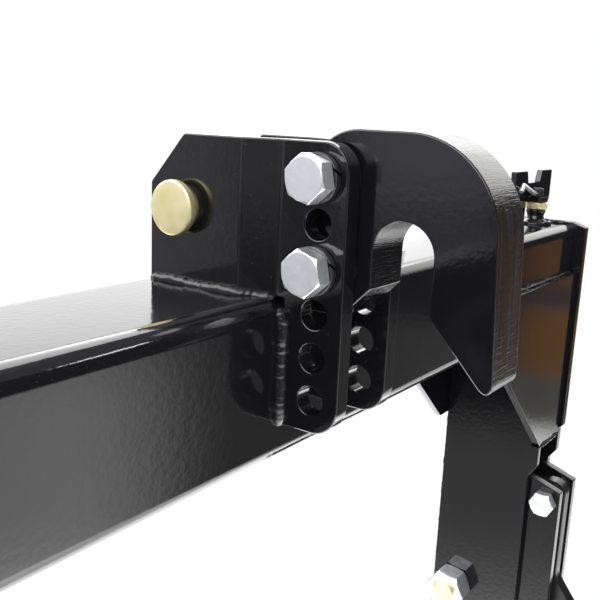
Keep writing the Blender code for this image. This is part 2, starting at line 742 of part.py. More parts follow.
def make_latch(name, side):
    """Latch lever: slotted arm behind the pivot, leg behind the throat, nose across it."""
    nose_floor = SEAT_Z + LINK_BUSHING / 2 + NOSE_GAP - PIVOT_Z
    nose_tip = THROAT_Y - LATCH_NOSE_REACH - PIVOT_Y
    leg_front = THROAT_Y - PIVOT_Y
    leg_rear = leg_front + LATCH_LEG_WIDTH
    arm_half = LATCH_ARM_HEIGHT / 2
    pin_half = CROSS_PIN_DIAMETER / 2 + SLOT_PLAY
    arm_end = LATCH_ARM + SLOT_TRAVEL + arm_half
    outline = rounded((
        (leg_front, LATCH_BOSS, LATCH_BOSS * 0.8),
        (leg_front, nose_floor + NOSE_TIP_HEIGHT + NOSE_RAMP, NECK_CORNER),
        (nose_tip, nose_floor + NOSE_TIP_HEIGHT, FOOT_CORNER),
        (nose_tip, nose_floor, CUT_CORNER),
        (leg_rear, nose_floor, LATCH_CORNER),
        (leg_rear, -arm_half - STEP_CORNER, LATCH_CORNER),
        (leg_rear + STEP_CORNER, -arm_half, STEP_CORNER),
        (arm_end, -arm_half, arm_half * FULL_ROUND),
        (arm_end, arm_half, arm_half * FULL_ROUND),
        (leg_rear, arm_half, ARM_CORNER),
        (leg_rear - LATCH_BOSS / 2, LATCH_BOSS, ARM_CORNER),
    ))
    slot = rectangle(
        (LATCH_ARM - pin_half - TOUCH, -pin_half),
        (LATCH_ARM + SLOT_TRAVEL + pin_half, pin_half),
        pin_half * FULL_ROUND,
    )
    holes = (circle((0, 0), HOLE_RADIUS), slot)
    pivot = (side * ROD_X, PIVOT_Y, PIVOT_Z)
    finish(plate(name + "_latch", outline, LATCH_THICKNESS, pivot, "X", holes=holes), satin_black)


def make_latch_pivot(name, side):
    """Bolt through both hook plates and the latch, with a spacer on each side of the latch."""
    inner_face = INNER_HOOK_X - HOOK_PLATE_THICKNESS / 2
    outer_face = OUTER_HOOK_X + HOOK_PLATE_THICKNESS / 2
    head_x = inner_face - TOUCH - BOLT_HEAD / 2
    nut_x = outer_face + TOUCH + NUT_HEIGHT / 2
    shank_end = nut_x + NUT_HEIGHT / 2 + THREAD_END / 2
    head_at = (side * head_x, PIVOT_Y, PIVOT_Z)
    bolt = hexagon(name + "_latch_pivot_bolt", BOLT_FLATS, BOLT_HEAD, head_at, "X", facing=-side)
    shank_at = (side * (shank_end + head_x) / 2, PIVOT_Y, PIVOT_Z)
    shank = cylinder("shank", BOLT_DIAMETER / 2, shank_end - head_x, shank_at, "X", sides=SMALL_SIDES)
    finish(as_solid(boolean(bolt, shank, "UNION")), bright_zinc)
    bore = BOLT_DIAMETER / 2 + TOUCH
    nut_at = (side * nut_x, PIVOT_Y, PIVOT_Z)
    nut = hexagon(
        name + "_latch_pivot_nut", BOLT_FLATS, NUT_HEIGHT, nut_at, "X", PIVOT_NUT_TURN, bore, facing=side)
    finish(nut, bright_zinc)
    for place_name, hook_face, latch_face in (
        ("inner", INNER_HOOK_X + HOOK_PLATE_THICKNESS / 2, ROD_X - LATCH_THICKNESS / 2),
        ("outer", OUTER_HOOK_X - HOOK_PLATE_THICKNESS / 2, ROD_X + LATCH_THICKNESS / 2),
    ):
        length = abs(latch_face - hook_face) - 2 * TOUCH
        at = (side * (hook_face + latch_face) / 2, PIVOT_Y, PIVOT_Z)
        node = name + "_" + place_name + "_latch_spacer"
        finish(ring(node, SPACER_OUTER / 2, bore, length, at, "X", sides=SMALL_SIDES), bright_zinc)


def make_pull_rod(name, side, slide_axis):
    """Rod through the crossbar, with a collar for its spring and a fork round the latch's arm."""
    pin_at = (side * ROD_X, ROD_Y, PIVOT_Z)
    slot = LATCH_THICKNESS / 2 + TOUCH
    cheek = slot + FORK_EAR
    bridge_top = FORK_DEPTH + FORK_BRIDGE
    bottom = -FORK_WIDTH / 2
    fork_section = (
        (-cheek, bottom),
        (-slot, bottom),
        (-slot, FORK_DEPTH),
        (slot, FORK_DEPTH),
        (slot, bottom),
        (cheek, bottom),
        (cheek, bridge_top),
        (-cheek, bridge_top),
    )
    fork = plate(name + "_pull_rod", fork_section, FORK_WIDTH, pin_at, "Y")
    half = FORK_WIDTH / 2
    side_outline = rounded((
        (-half, bottom, half * FULL_ROUND),
        (half, bottom, half * FULL_ROUND),
        (half, bridge_top + TOUCH, 0),
        (-half, bridge_top + TOUCH, 0),
    ))
    boolean(fork, plate("fork_side", side_outline, 4 * cheek, pin_at, "X"), "INTERSECT")
    drill = cylinder("pin_drill", CROSS_PIN_DIAMETER / 2 + TOUCH, 4 * cheek, pin_at, "X", sides=SMALL_SIDES)
    boolean(fork, drill, "DIFFERENCE")
    low = PIVOT_Z + FORK_DEPTH + FORK_BRIDGE / 2
    high = TOP_Z + ROD_TOP
    radius = ROD_DIAMETER / 2
    collar_top = UNDER_Z - COLLAR_DROP
    profile = (
        (0, high),
        (radius - ROD_CHAMFER, high),
        (radius, high - ROD_CHAMFER),
        (radius, collar_top),
        (COLLAR_OUTER / 2, collar_top),
        (COLLAR_OUTER / 2, collar_top - COLLAR_HEIGHT),
        (radius, collar_top - COLLAR_HEIGHT),
        (radius, low),
        (0, low),
    )
    boolean(fork, turned("rod", profile, (side * ROD_X, ROD_Y, 0), "Z", sides=SMALL_SIDES), "UNION")
    clip_at = (side * ROD_X, ROD_Y, high - HANDLE_CLIP_SETBACK)
    clip_bore = HANDLE_CLIP_WIRE / 2 + TOUCH
    drill = cylinder("clip_drill", clip_bore, 2 * ROD_DIAMETER, clip_at, "X", sides=TINY_SIDES)
    boolean(fork, drill, "DIFFERENCE")
    finish(as_solid(fork), satin_black, slide_axis)

    far_face = cheek + TOUCH
    near_end = -cheek
    profile = (
        (0, far_face + CROSS_PIN_HEAD_THICKNESS),
        (CROSS_PIN_HEAD / 2, far_face + CROSS_PIN_HEAD_THICKNESS),
        (CROSS_PIN_HEAD / 2, far_face),
        (CROSS_PIN_DIAMETER / 2, far_face),
        (CROSS_PIN_DIAMETER / 2, near_end),
        (0, near_end),
    )
    pin = turned(name + "_rod_cross_pin", profile, pin_at, "X", sides=SMALL_SIDES)
    finish(pin, bright_zinc, slide_axis)


def make_return_spring(name, side):
    """Spring between the rod's collar and the crossbar, with closed end turns."""
    centre = Vector((side * ROD_X, ROD_Y, 0))
    bottom = UNDER_Z - COLLAR_DROP + TOUCH + SPRING_WIRE / 2
    top = UNDER_Z - TOUCH - SPRING_WIRE / 2
    dead = 1.0
    points = []
    for index in range(SPRING_TURNS * POINTS_PER_TURN + 1):
        turn = index / POINTS_PER_TURN
        live = min(max(turn - dead, 0), SPRING_TURNS - 2 * dead) / (SPRING_TURNS - 2 * dead)
        closing = min(turn, dead) + max(turn - SPRING_TURNS + dead, 0)
        height = closing * SPRING_WIRE * 1.05
        height += live * (top - bottom - 2 * dead * SPRING_WIRE * 1.05)
        angle = 2 * math.pi * turn * side
        points.append((SPRING_RADIUS * math.cos(angle), SPRING_RADIUS * math.sin(angle), bottom + height))
    finish(wire(name + "_return_spring", points, SPRING_WIRE, centre), spring_steel)


def make_rod_guide(name, side):
    """Flared boss welded on the crossbar, which guides the pull rod and stops its handle."""
    base = TOP_Z + TOUCH
    bore = ROD_DIAMETER / 2 + TOUCH
    profile = (
        (bore, base + GUIDE_HEIGHT),
        (GUIDE_HEAD / 2, base + GUIDE_HEIGHT),
        (GUIDE_WAIST / 2, base + GUIDE_HEIGHT / 2),
        (GUIDE_BASE / 2, base),
        (bore, base),
    )
    guide = turned(name + "_rod_guide", profile, (side * ROD_X, ROD_Y, 0), "Z", closed=True)
    finish(guide, gloss_black)


def make_pull_handle(name, side, slide_axis):
    """Fish-tail plate behind the rod, with a window for the jam nut and a welded tab above it."""
    rear_of_rod = ROD_Y + ROD_DIAMETER / 2 + TOUCH
    half = HANDLE_WIDTH / 2
    hip = HANDLE_HIP_WIDTH / 2
    foot = HANDLE_FOOT_WIDTH / 2
    offset = side * HANDLE_OFFSET
    top = HANDLE_HEIGHT
    floor = top - NOTCH_DEPTH
    window = JAM_NUT_FLATS / math.sqrt(3) + NUT_WINDOW_PLAY
    outline = rounded((
        (-foot, 0, CUT_CORNER),
        (-window - offset, 0, SHARP_CORNER),
        (-window - offset, HANDLE_SKIRT, SHARP_CORNER),
        (window - offset, HANDLE_SKIRT, SHARP_CORNER),
        (window - offset, 0, SHARP_CORNER),
        (foot, 0, CUT_CORNER),
        (hip, HANDLE_HIP_HEIGHT, WIDE_CORNER),
        (half, HANDLE_FLARE_HEIGHT, WIDE_CORNER),
        (half, top, SHARP_CORNER),
        (NOTCH_TOP / 2, top, SHARP_CORNER),
        (NOTCH_FLOOR / 2, floor, SHARP_CORNER),
        (-NOTCH_FLOOR / 2, floor, SHARP_CORNER),
        (-NOTCH_TOP / 2, top, SHARP_CORNER),
        (-half, top, SHARP_CORNER),
        (-half, HANDLE_FLARE_HEIGHT, WIDE_CORNER),
        (-hip, HANDLE_HIP_HEIGHT, WIDE_CORNER),
    ))
    at = (side * ROD_X + offset, rear_of_rod + HANDLE_THICKNESS / 2, TAB_Z - HANDLE_SKIRT)
    handle = plate(name + "_pull_handle", outline, HANDLE_THICKNESS, at, "Y")
    tab_front = ROD_Y - TAB_WIDTH / 2
    tab_rear = rear_of_rod + HANDLE_THICKNESS / 2
    tab_outline = rectangle(
        (side * ROD_X - TAB_WIDTH / 2, tab_front),
        (side * ROD_X + TAB_WIDTH / 2, tab_rear),
        0.001,
    )
    rod_hole = circle((side * ROD_X, ROD_Y), ROD_DIAMETER / 2 + TOUCH)
    tab_at = (0, 0, TAB_Z + TAB_THICKNESS / 2)
    tab = plate("tab", tab_outline, TAB_THICKNESS, tab_at, "Z", holes=(rod_hole,))
    boolean(handle, tab, "UNION")
    finish(as_solid(handle), gloss_black, slide_axis)

    nut_at = (side * ROD_X, ROD_Y, JAM_NUT_Z + JAM_NUT_HEIGHT / 2)
    bore = ROD_DIAMETER / 2 + TOUCH
    nut = hexagon(name + "_handle_jam_nut", JAM_NUT_FLATS, JAM_NUT_HEIGHT, nut_at, "Z", 0.0, bore)
    finish(nut, yellow_zinc, slide_axis)

    height = TOP_Z + ROD_TOP - HANDLE_CLIP_SETBACK
    inward = -side
    radius = ROD_DIAMETER / 2
    path = [
        (-inward * radius * 1.3, 0, 0),
        (inward * radius * 1.6, 0, 0),
        (inward * HANDLE_CLIP_REACH, 0, HANDLE_CLIP_RISE),
        (inward * (HANDLE_CLIP_REACH + HANDLE_CLIP_CROOK), 0, HANDLE_CLIP_RISE - HANDLE_CLIP_CROOK),
    ]
    clip = wire(name + "_handle_clip", path, HANDLE_CLIP_WIRE, (side * ROD_X, ROD_Y, height))
    finish(clip, bright_zinc, slide_axis)


def make_lower_link_pin(name, side):
    """Stud for the tractor's lower link: collar outside the leg, nut inside it, linchpin at its end."""
    collar_in = POCKET_OUTER_X + OUTER_CHEEK_THICKNESS + TOUCH
    collar_out = collar_in + LINK_PIN_COLLAR_THICKNESS
    tip = collar_out + LINK_PIN_REACH
    inner_face = CHEEK_X - TOUCH
    nut_x = inner_face - LINK_NUT_HEIGHT / 2
    thread_end = inner_face - LINK_NUT_HEIGHT - THREAD_END / 2
    shank = LINK_PIN_DIAMETER / 2
    profile = [
        (0, tip),
        (shank - LINK_PIN_CHAMFER, tip),
        (shank, tip - LINK_PIN_CHAMFER),
        (shank, collar_out),
        (LINK_PIN_COLLAR / 2, collar_out),
        (LINK_PIN_COLLAR / 2, collar_in),
        (shank, collar_in),
        (shank, thread_end),
        (0, thread_end),
    ]
    if side < 0:
        profile = [(radius, -height) for radius, height in reversed(profile)]
    at = (0, LINK_PIN_Y, LINK_PIN_Z)
    pin = turned(name + "_lower_link_pin", profile, at, "X")
    hole_at = (side * (tip - LINCHPIN_SETBACK), LINK_PIN_Y, LINK_PIN_Z)
    reach = 2 * LINK_PIN_DIAMETER
    drill = cylinder("linchpin_drill", LINCHPIN_DIAMETER / 2 + TOUCH, reach, hole_at, "Z", sides=SMALL_SIDES)
    finish(as_solid(boolean(pin, drill, "DIFFERENCE")), yellow_zinc)

    bore = shank + TOUCH
    nut_at = (side * nut_x, LINK_PIN_Y, LINK_PIN_Z)
    nut = hexagon(
        name + "_lower_link_pin_nut", LINK_NUT_FLATS, LINK_NUT_HEIGHT, nut_at, "X", LINK_NUT_TURN, bore,
        facing=-side)
    finish(nut, bright_zinc)
    head = LINCHPIN_HEAD / 2
    low = -shank - LINCHPIN_DIAMETER
    high = shank + head
    shaft_at = Vector(hole_at) + Vector((0, 0, (low + high) / 2))
    shaft = cylinder(
        name + "_lower_linchpin", LINCHPIN_DIAMETER / 2, high - low, shaft_at, "Z", sides=SMALL_SIDES)
    head_at = Vector(hole_at) + Vector((0, 0, shank + TOUCH + head))
    boolean(shaft, cylinder("head", head, LINCHPIN_DIAMETER, head_at, "X", sides=SMALL_SIDES), "UNION")
    steps = 2 * TINY_SIDES
    bow = []
    for step in range(steps):
        angle = 2 * math.pi * step / steps
        bow.append((0, LINCHPIN_RING * math.sin(angle), LINCHPIN_RING * (math.cos(angle) - 1)))
    curve = wire("bow", bow, LINCHPIN_WIRE, head_at, closed=True)
    boolean(shaft, curve, "UNION")
    finish(as_solid(shaft), yellow_zinc)


for item in list(bpy.data.objects):
    bpy.data.objects.remove(item, do_unlink=True)

parts = new_collection("three_point_quick_hitch")
cutters = new_collection("cutters")
gloss_black = new_material("gloss_black_powder_coat", (0.012, 0.012, 0.015), 0.22, 0.0)
satin_black = new_material("satin_black_steel", (0.02, 0.02, 0.022), 0.45, 0.3)
flame_cut_black = new_material("powder_coat_on_flame_cut_plate", (0.013, 0.013, 0.016), 0.25, 0.0)
bright_zinc = new_material("bright_zinc", (0.78, 0.79, 0.80), 0.28, 1.0)
yellow_zinc = new_material("yellow_zinc", (0.80, 0.76, 0.45), 0.30, 1.0)
spring_steel = new_material("spring_steel", (0.30, 0.30, 0.31), 0.40, 1.0)
SIDES = (("left", -1), ("right", 1))

make_crossbar()
make_bracket_plates()
make_top_hook()
make_hook_bolts()
make_top_link_pin()
for side_name, side_sign in SIDES:
    make_gussets(side_name, side_sign)
    make_cheeks(side_name, side_sign)
    make_lower_hook(side_name, side_sign)
    make_latch(side_name, side_sign)
    make_latch_pivot(side_name, side_sign)
    rod_axis = axis_empty(side_name + "_rod_axis", (side_sign * ROD_X, ROD_Y, 0))
    make_pull_rod(side_name, side_sign, rod_axis)
    make_return_spring(side_name, side_sign)
    make_rod_guide(side_name, side_sign)
    make_pull_handle(side_name, side_sign, rod_axis)
    make_lower_link_pin(side_name, side_sign)
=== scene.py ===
"""Looks of the three point quick hitch: black powder coat, zinc plated fasteners and pins.

The file follows the hitch as it is put together, from the crossbar out to the lower hooks.
Metres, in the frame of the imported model: +X along the crossbar, +Y to the tractor, +Z up.
"""
import json
import math
import random

import bpy
from mathutils import Matrix, Vector

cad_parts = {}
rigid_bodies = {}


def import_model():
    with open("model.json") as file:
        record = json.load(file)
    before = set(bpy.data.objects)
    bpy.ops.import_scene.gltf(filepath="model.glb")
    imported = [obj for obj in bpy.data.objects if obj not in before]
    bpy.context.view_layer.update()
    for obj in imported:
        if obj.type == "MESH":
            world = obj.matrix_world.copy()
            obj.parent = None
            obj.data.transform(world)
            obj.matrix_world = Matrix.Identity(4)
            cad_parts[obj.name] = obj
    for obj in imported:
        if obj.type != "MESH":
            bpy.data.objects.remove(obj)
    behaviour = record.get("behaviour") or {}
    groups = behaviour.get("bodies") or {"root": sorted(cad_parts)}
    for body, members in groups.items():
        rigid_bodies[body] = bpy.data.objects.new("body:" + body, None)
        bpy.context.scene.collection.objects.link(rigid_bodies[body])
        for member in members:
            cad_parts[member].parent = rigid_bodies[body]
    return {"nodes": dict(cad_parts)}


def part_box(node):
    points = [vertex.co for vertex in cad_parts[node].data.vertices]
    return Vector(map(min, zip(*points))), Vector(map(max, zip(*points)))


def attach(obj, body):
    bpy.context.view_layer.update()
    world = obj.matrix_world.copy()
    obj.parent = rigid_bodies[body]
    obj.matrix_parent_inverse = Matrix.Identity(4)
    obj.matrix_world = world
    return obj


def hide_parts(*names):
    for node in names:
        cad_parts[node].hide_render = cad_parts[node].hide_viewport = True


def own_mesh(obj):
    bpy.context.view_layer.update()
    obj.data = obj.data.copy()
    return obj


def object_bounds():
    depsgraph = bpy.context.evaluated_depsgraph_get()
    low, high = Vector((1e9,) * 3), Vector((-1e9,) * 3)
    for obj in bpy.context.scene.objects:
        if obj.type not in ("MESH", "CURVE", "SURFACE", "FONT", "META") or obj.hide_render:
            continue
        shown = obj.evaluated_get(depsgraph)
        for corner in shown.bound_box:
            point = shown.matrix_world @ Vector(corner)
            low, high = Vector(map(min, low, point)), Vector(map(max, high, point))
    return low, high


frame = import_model()
cad_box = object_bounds()


# ---- Studio ----
# A white room, darker in front than behind, so that the black coat has something to mirror. The
# camera stands in front of the hitch, on its left, and looks down a little, as in the photograph.
CAMERA_PLACE = (-0.3181, -0.2940, 0.1206)
CAMERA_RIGHT = Vector((0.5809, -0.8129, 0.0430)).normalized()
CAMERA_FORWARD = Vector((0.7995, 0.5598, -0.2176)).normalized()
CAMERA_LENS = 49.386

camera_data = bpy.data.cameras.new("photo_camera")
camera_data.sensor_width = 36.0
camera_data.lens = CAMERA_LENS
camera_data.clip_start = 0.01
camera = bpy.data.objects.new("photo_camera", camera_data)
camera_up = CAMERA_RIGHT.cross(CAMERA_FORWARD).normalized()
camera.matrix_world = Matrix.Translation(CAMERA_PLACE) @ Matrix(
    (CAMERA_RIGHT, camera_up, -CAMERA_FORWARD)).transposed().to_4x4()
bpy.context.scene.collection.objects.link(camera)
bpy.context.scene.camera = camera
bpy.context.scene.view_settings.view_transform = "Standard"

ROOM_LIGHT = 0.50
ROOM_DARK = (0.03, 0.03, 0.032)
# What the coat mirrors: heading (x, y), cosines where it fades in, then the heights (sine of the
# elevation) where it rises and where it falls again, and its colour.
MIRRORED = (
    # Behind on the right: a wide wall, a soft box, a thin tube, a grey flat and a bright screen.
    ((0.60, 0.80), (0.70, 0.96), (-0.05, 0.06), (0.70, 0.55), (2.4, 2.4, 2.4)),
    ((0.80, 0.60), (0.86, 0.90), (0.40, 0.52), (0.88, 0.84), (6.0, 6.0, 6.0)),
    ((0.765, -0.644), (0.9960, 0.9985), (0.515, 0.530), (0.575, 0.555), (16.0, 16.0, 16.0)),
    ((0.86, -0.51), (0.70, 0.85), (0.57, 0.61), (0.90, 0.86), (0.38, 0.38, 0.40)),
    ((1.00, 0.00), (0.90, 0.98), (0.21, 0.30), (0.62, 0.50), (2.6, 2.6, 2.55)),
    # Behind on the left: a large soft box, and the cards that the plates and the hook mirror.
    ((-0.92, 0.40), (0.30, 0.80), (0.24, 0.34), (0.88, 0.75), (5.0, 5.0, 5.0)),
    ((-0.92, 0.40), (0.60, 0.95), (-0.28, -0.12), (1.1, 1.0), (0.15, 0.15, 0.16)),
    ((-0.66, 0.75), (0.972, 0.998), (-0.32, -0.20), (1.1, 1.0), (0.50, 0.50, 0.52)),
    ((-0.92, 0.39), (0.980, 0.992), (-0.165, -0.05), (1.1, 1.0), (0.75, 0.75, 0.84)),
    ((-0.99, -0.12), (0.93, 0.98), (-0.20, -0.05), (1.1, 1.0), (0.34, 0.34, 0.35)),
    ((-0.92, 0.40), (0.90, 0.97), (-1.1, -1.0), (-0.32, -0.355), (0.66, 0.66, 0.66)),
    # On the right: a brown card in two parts, a grey one below it, and a pale foot.
    ((0.969, -0.247), (0.9945, 0.9962), (-0.186, -0.176), (-0.085, -0.105), (0.24, 0.10, 0.022)),
    ((0.969, -0.247), (0.9945, 0.9962), (-0.212, -0.202), (-0.178, -0.188), (0.08, 0.07, 0.08)),
    ((0.969, -0.247), (0.9945, 0.9962), (-0.292, -0.275), (-0.200, -0.210), (0.31, 0.135, 0.02)),
    ((0.969, -0.247), (0.985, 0.990), (-1.1, -1.0), (-0.275, -0.290), (0.16, 0.155, 0.13)),
    ((0.969, -0.247), (0.985, 0.990), (-1.1, -1.0), (-0.325, -0.352), (1.7, 1.7, 1.7)),
    # In front, low down: a dim card and the pale edge of the floor.
    ((0.80, -0.60), (0.950, 0.972), (-1.1, -1.0), (-0.215, -0.25), (0.16, 0.16, 0.155)),
    ((0.50, -0.87), (0.94, 0.995), (-1.1, -1.0), (-0.15, -0.36), (2.2, 2.2, 2.2)),
    # Soft cards that show the hitch's form from behind, from its right and from the front.
    ((0.05, 1.00), (0.75, 0.95), (-1.1, -1.0), (0.35, 0.05), (0.60, 0.60, 0.62)),
    ((0.97, 0.25), (0.90, 0.97), (-1.1, -1.0), (0.06, -0.05), (0.55, 0.55, 0.56)),
    ((-0.30, -0.95), (0.75, 0.93), (-1.1, -1.0), (0.35, 0.00), (0.50, 0.50, 0.52)),
    # Overhead, and the bright floor.
    ((0.00, -1.00), (-1.1, -1.0), (0.80, 0.92), (1.2, 1.1), (0.9, 0.9, 0.9)),
    ((0.00, -1.00), (-1.1, -1.0), (-1.1, -1.05), (-0.45, -0.62), (3.6, 3.6, 3.6)),
)

world = bpy.data.worlds.new("studio")
bpy.context.scene.world = world
world.use_nodes = True
room = world.node_tree
room.nodes.clear()
room_out = room.nodes.new("ShaderNodeOutputWorld")
paths = room.nodes.new("ShaderNodeLightPath")
direction = room.nodes.new("ShaderNodeTexCoord")
split = room.nodes.new("ShaderNodeSeparateXYZ")
room.links.new(direction.outputs["Generated"], split.inputs[0])
level = room.nodes.new("ShaderNodeVectorMath")
level.operation = "MULTIPLY"
level.inputs[1].default_value = (1, 1, 0)
room.links.new(direction.outputs["Generated"], level.inputs[0])
heading = room.nodes.new("ShaderNodeVectorMath")
heading.operation = "NORMALIZE"
room.links.new(level.outputs[0], heading.inputs[0])


def ramp(source, start, end):
    """Smooth step from 0 to 1 between two values of one of the room's outputs."""
    step = room.nodes.new("ShaderNodeMapRange")
    step.interpolation_type = "SMOOTHSTEP"
    if start > end:
        start, end = end, start
        step.inputs["To Min"].default_value = 1.0
        step.inputs["To Max"].default_value = 0.0
    step.inputs["From Min"].default_value = start
    step.inputs["From Max"].default_value = end
    room.links.new(source, step.inputs["Value"])
    return step.outputs["Result"]


total = None
for towards, sideways, rise, fall, colour in MIRRORED:
    aim = room.nodes.new("ShaderNodeVectorMath")
    aim.operation = "DOT_PRODUCT"
    aim.inputs[1].default_value = Vector((*towards, 0)).normalized()
    room.links.new(heading.outputs[0], aim.inputs[0])
    window = ramp(aim.outputs["Value"], *sideways)
    for limits in (rise, fall):
        both = room.nodes.new("ShaderNodeMath")
        both.operation = "MULTIPLY"
        room.links.new(window, both.inputs[0])
        room.links.new(ramp(split.outputs["Z"], *limits), both.inputs[1])
        window = both.outputs[0]
    add = room.nodes.new("ShaderNodeVectorMath")
    add.operation = "MULTIPLY_ADD"
    add.inputs[1].default_value = colour
    add.inputs[2].default_value = ROOM_DARK
    room.links.new(window, add.inputs[0])
    if total:
        room.links.new(total, add.inputs[2])
    total = add.outputs[0]

seen = room.nodes.new("ShaderNodeBackground")
seen.inputs["Color"].default_value = (1, 1, 1, 1)
mirrored = room.nodes.new("ShaderNodeBackground")
room.links.new(total, mirrored.inputs["Color"])
lit = room.nodes.new("ShaderNodeBackground")
lit.inputs["Color"].default_value = (1, 1, 1, 1)
lit.inputs["Strength"].default_value = ROOM_LIGHT
glossy_mix = room.nodes.new("ShaderNodeMixShader")
camera_mix = room.nodes.new("ShaderNodeMixShader")
room.links.new(paths.outputs["Is Glossy Ray"], glossy_mix.inputs["Fac"])
room.links.new(lit.outputs[0], glossy_mix.inputs[1])
room.links.new(mirrored.outputs[0], glossy_mix.inputs[2])
room.links.new(paths.outputs["Is Camera Ray"], camera_mix.inputs["Fac"])
room.links.new(glossy_mix.outputs[0], camera_mix.inputs[1])
room.links.new(seen.outputs[0], camera_mix.inputs[2])
room.links.new(camera_mix.outputs[0], room_out.inputs["Surface"])

FLOOR_COLOUR = (0.90, 0.90, 0.90, 1.0)
FLOOR_SIZE = 16
FLOOR_NEAR = 0.45
FLOOR_FAR = 1.3
SHADOW_SHARE = 0.70

bpy.ops.object.select_all(action="DESELECT")
bpy.ops.mesh.primitive_plane_add(size=FLOOR_SIZE, location=(0, 0, cad_box[0][2]))
sweep = bpy.context.object
sweep.name = "studio_floor"
sweep.visible_glossy = False
sweep_paint = bpy.data.materials.new("studio_floor")
sweep_paint.use_nodes = True
tree = sweep_paint.node_tree
matt = tree.nodes["Principled BSDF"]
matt.inputs["Base Color"].default_value = FLOOR_COLOUR
matt.inputs["Roughness"].default_value = 0.9
matt.inputs["Specular IOR Level"].default_value = 0.0
white = tree.nodes.new("ShaderNodeEmission")
white.inputs["Strength"].default_value = 1.0
floor_paths = tree.nodes.new("ShaderNodeLightPath")
floor_place = tree.nodes.new("ShaderNodeTexCoord")
reach = tree.nodes.new("ShaderNodeVectorMath")
reach.operation = "LENGTH"
tree.links.new(floor_place.outputs["Object"], reach.inputs[0])
fade = tree.nodes.new("ShaderNodeMapRange")
fade.interpolation_type = "SMOOTHSTEP"
fade.inputs["From Min"].default_value = FLOOR_NEAR
fade.inputs["From Max"].default_value = FLOOR_FAR
fade.inputs["To Min"].default_value = SHADOW_SHARE
fade.inputs["To Max"].default_value = 1.0
tree.links.new(reach.outputs["Value"], fade.inputs["Value"])
share = tree.nodes.new("ShaderNodeMath")
share.operation = "MULTIPLY"
tree.links.new(floor_paths.outputs["Is Camera Ray"], share.inputs[0])
tree.links.new(fade.outputs["Result"], share.inputs[1])
blend = tree.nodes.new("ShaderNodeMixShader")
tree.links.new(share.outputs[0], blend.inputs["Fac"])
tree.links.new(matt.outputs[0], blend.inputs[1])
tree.links.new(white.outputs[0], blend.inputs[2])
tree.links.new(blend.outputs[0], tree.nodes["Material Output"].inputs["Surface"])
sweep.data.materials.append(sweep_paint)

LIT_POINT = Vector((0, -0.05, -0.05))
for name, place, size, watts in (
    ("soft_box_left", (-1.6, -1.2, 1.3), 1.2, 24),
    ("soft_box_front", (0.6, -2.2, 1.6), 1.4, 16),
    ("soft_box_top", (0.2, 0.3, 2.0), 1.6, 34),
    ("soft_box_rear", (-0.6, 2.0, 1.2), 1.2, 18),
):
    bpy.ops.object.light_add(type="AREA", location=place)
    lamp = bpy.context.object
    lamp.name = name
    lamp.data.size = size
    lamp.data.energy = watts
    lamp.visible_glossy = False
    lamp.rotation_euler = (LIT_POINT - Vector(place)).to_track_quat("-Z", "Y").to_euler()


# ---- Crossbar ----
# Square structural tube, 80 mm, with rolled corners. Its black powder coat is glossy, with a fine
# orange peel and a little dust that has settled on it.
BAR_HALF = 0.040
BAR_ROLL = 0.0095
CORNER_REACH = 0.00005
PEEL_GRAIN = 330.0
PEEL_HEIGHT = 0.0004
SPECK_GRAIN = 1500.0
HAZE_GRAIN = 18.0
COAT_BLACK = (0.0075, 0.0075, 0.0090, 1.0)
DUST_GREY = (0.10, 0.10, 0.10, 1.0)

coat_group = bpy.data.node_groups.new("powder_coat_skin", "ShaderNodeTree")
for label, value in (("Peel Grain", PEEL_GRAIN), ("Peel Depth", 0.10), ("Dust", 0.5)):
    socket = coat_group.interface.new_socket(
        label, in_out="INPUT", socket_type="NodeSocketFloat")
    socket.default_value = value
coat_group.interface.new_socket("Normal", in_out="OUTPUT", socket_type="NodeSocketVector")
coat_group.interface.new_socket("Dust", in_out="OUTPUT", socket_type="NodeSocketFloat")
coat_group.interface.new_socket("Haze", in_out="OUTPUT", socket_type="NodeSocketFloat")
nodes, links = coat_group.nodes, coat_group.links
given = nodes.new("NodeGroupInput")
result = nodes.new("NodeGroupOutput")
where = nodes.new("ShaderNodeTexCoord")
peel = nodes.new("ShaderNodeTexNoise")
peel.inputs["Detail"].default_value = 1.5
links.new(where.outputs["Object"], peel.inputs["Vector"])
links.new(given.outputs["Peel Grain"], peel.inputs["Scale"])
bump = nodes.new("ShaderNodeBump")
bump.inputs["Distance"].default_value = PEEL_HEIGHT
links.new(peel.outputs["Fac"], bump.inputs["Height"])
links.new(given.outputs["Peel Depth"], bump.inputs["Strength"])
links.new(bump.outputs["Normal"], result.inputs["Normal"])
specks = nodes.new("ShaderNodeTexNoise")
specks.inputs["Scale"].default_value = SPECK_GRAIN
specks.inputs["Detail"].default_value = 0.0
links.new(where.outputs["Object"], specks.inputs["Vector"])
few = nodes.new("ShaderNodeMapRange")
few.inputs["From Min"].default_value = 0.80
few.inputs["From Max"].default_value = 0.86
links.new(specks.outputs["Fac"], few.inputs["Value"])
settled = nodes.new("ShaderNodeMath")
settled.operation = "MULTIPLY"
links.new(few.outputs["Result"], settled.inputs[0])
links.new(given.outputs["Dust"], settled.inputs[1])
links.new(settled.outputs[0], result.inputs["Dust"])
haze = nodes.new("ShaderNodeTexNoise")
haze.inputs["Scale"].default_value = HAZE_GRAIN
haze.inputs["Detail"].default_value = 3.0
links.new(where.outputs["Object"], haze.inputs["Vector"])
links.new(haze.outputs["Fac"], result.inputs["Haze"])


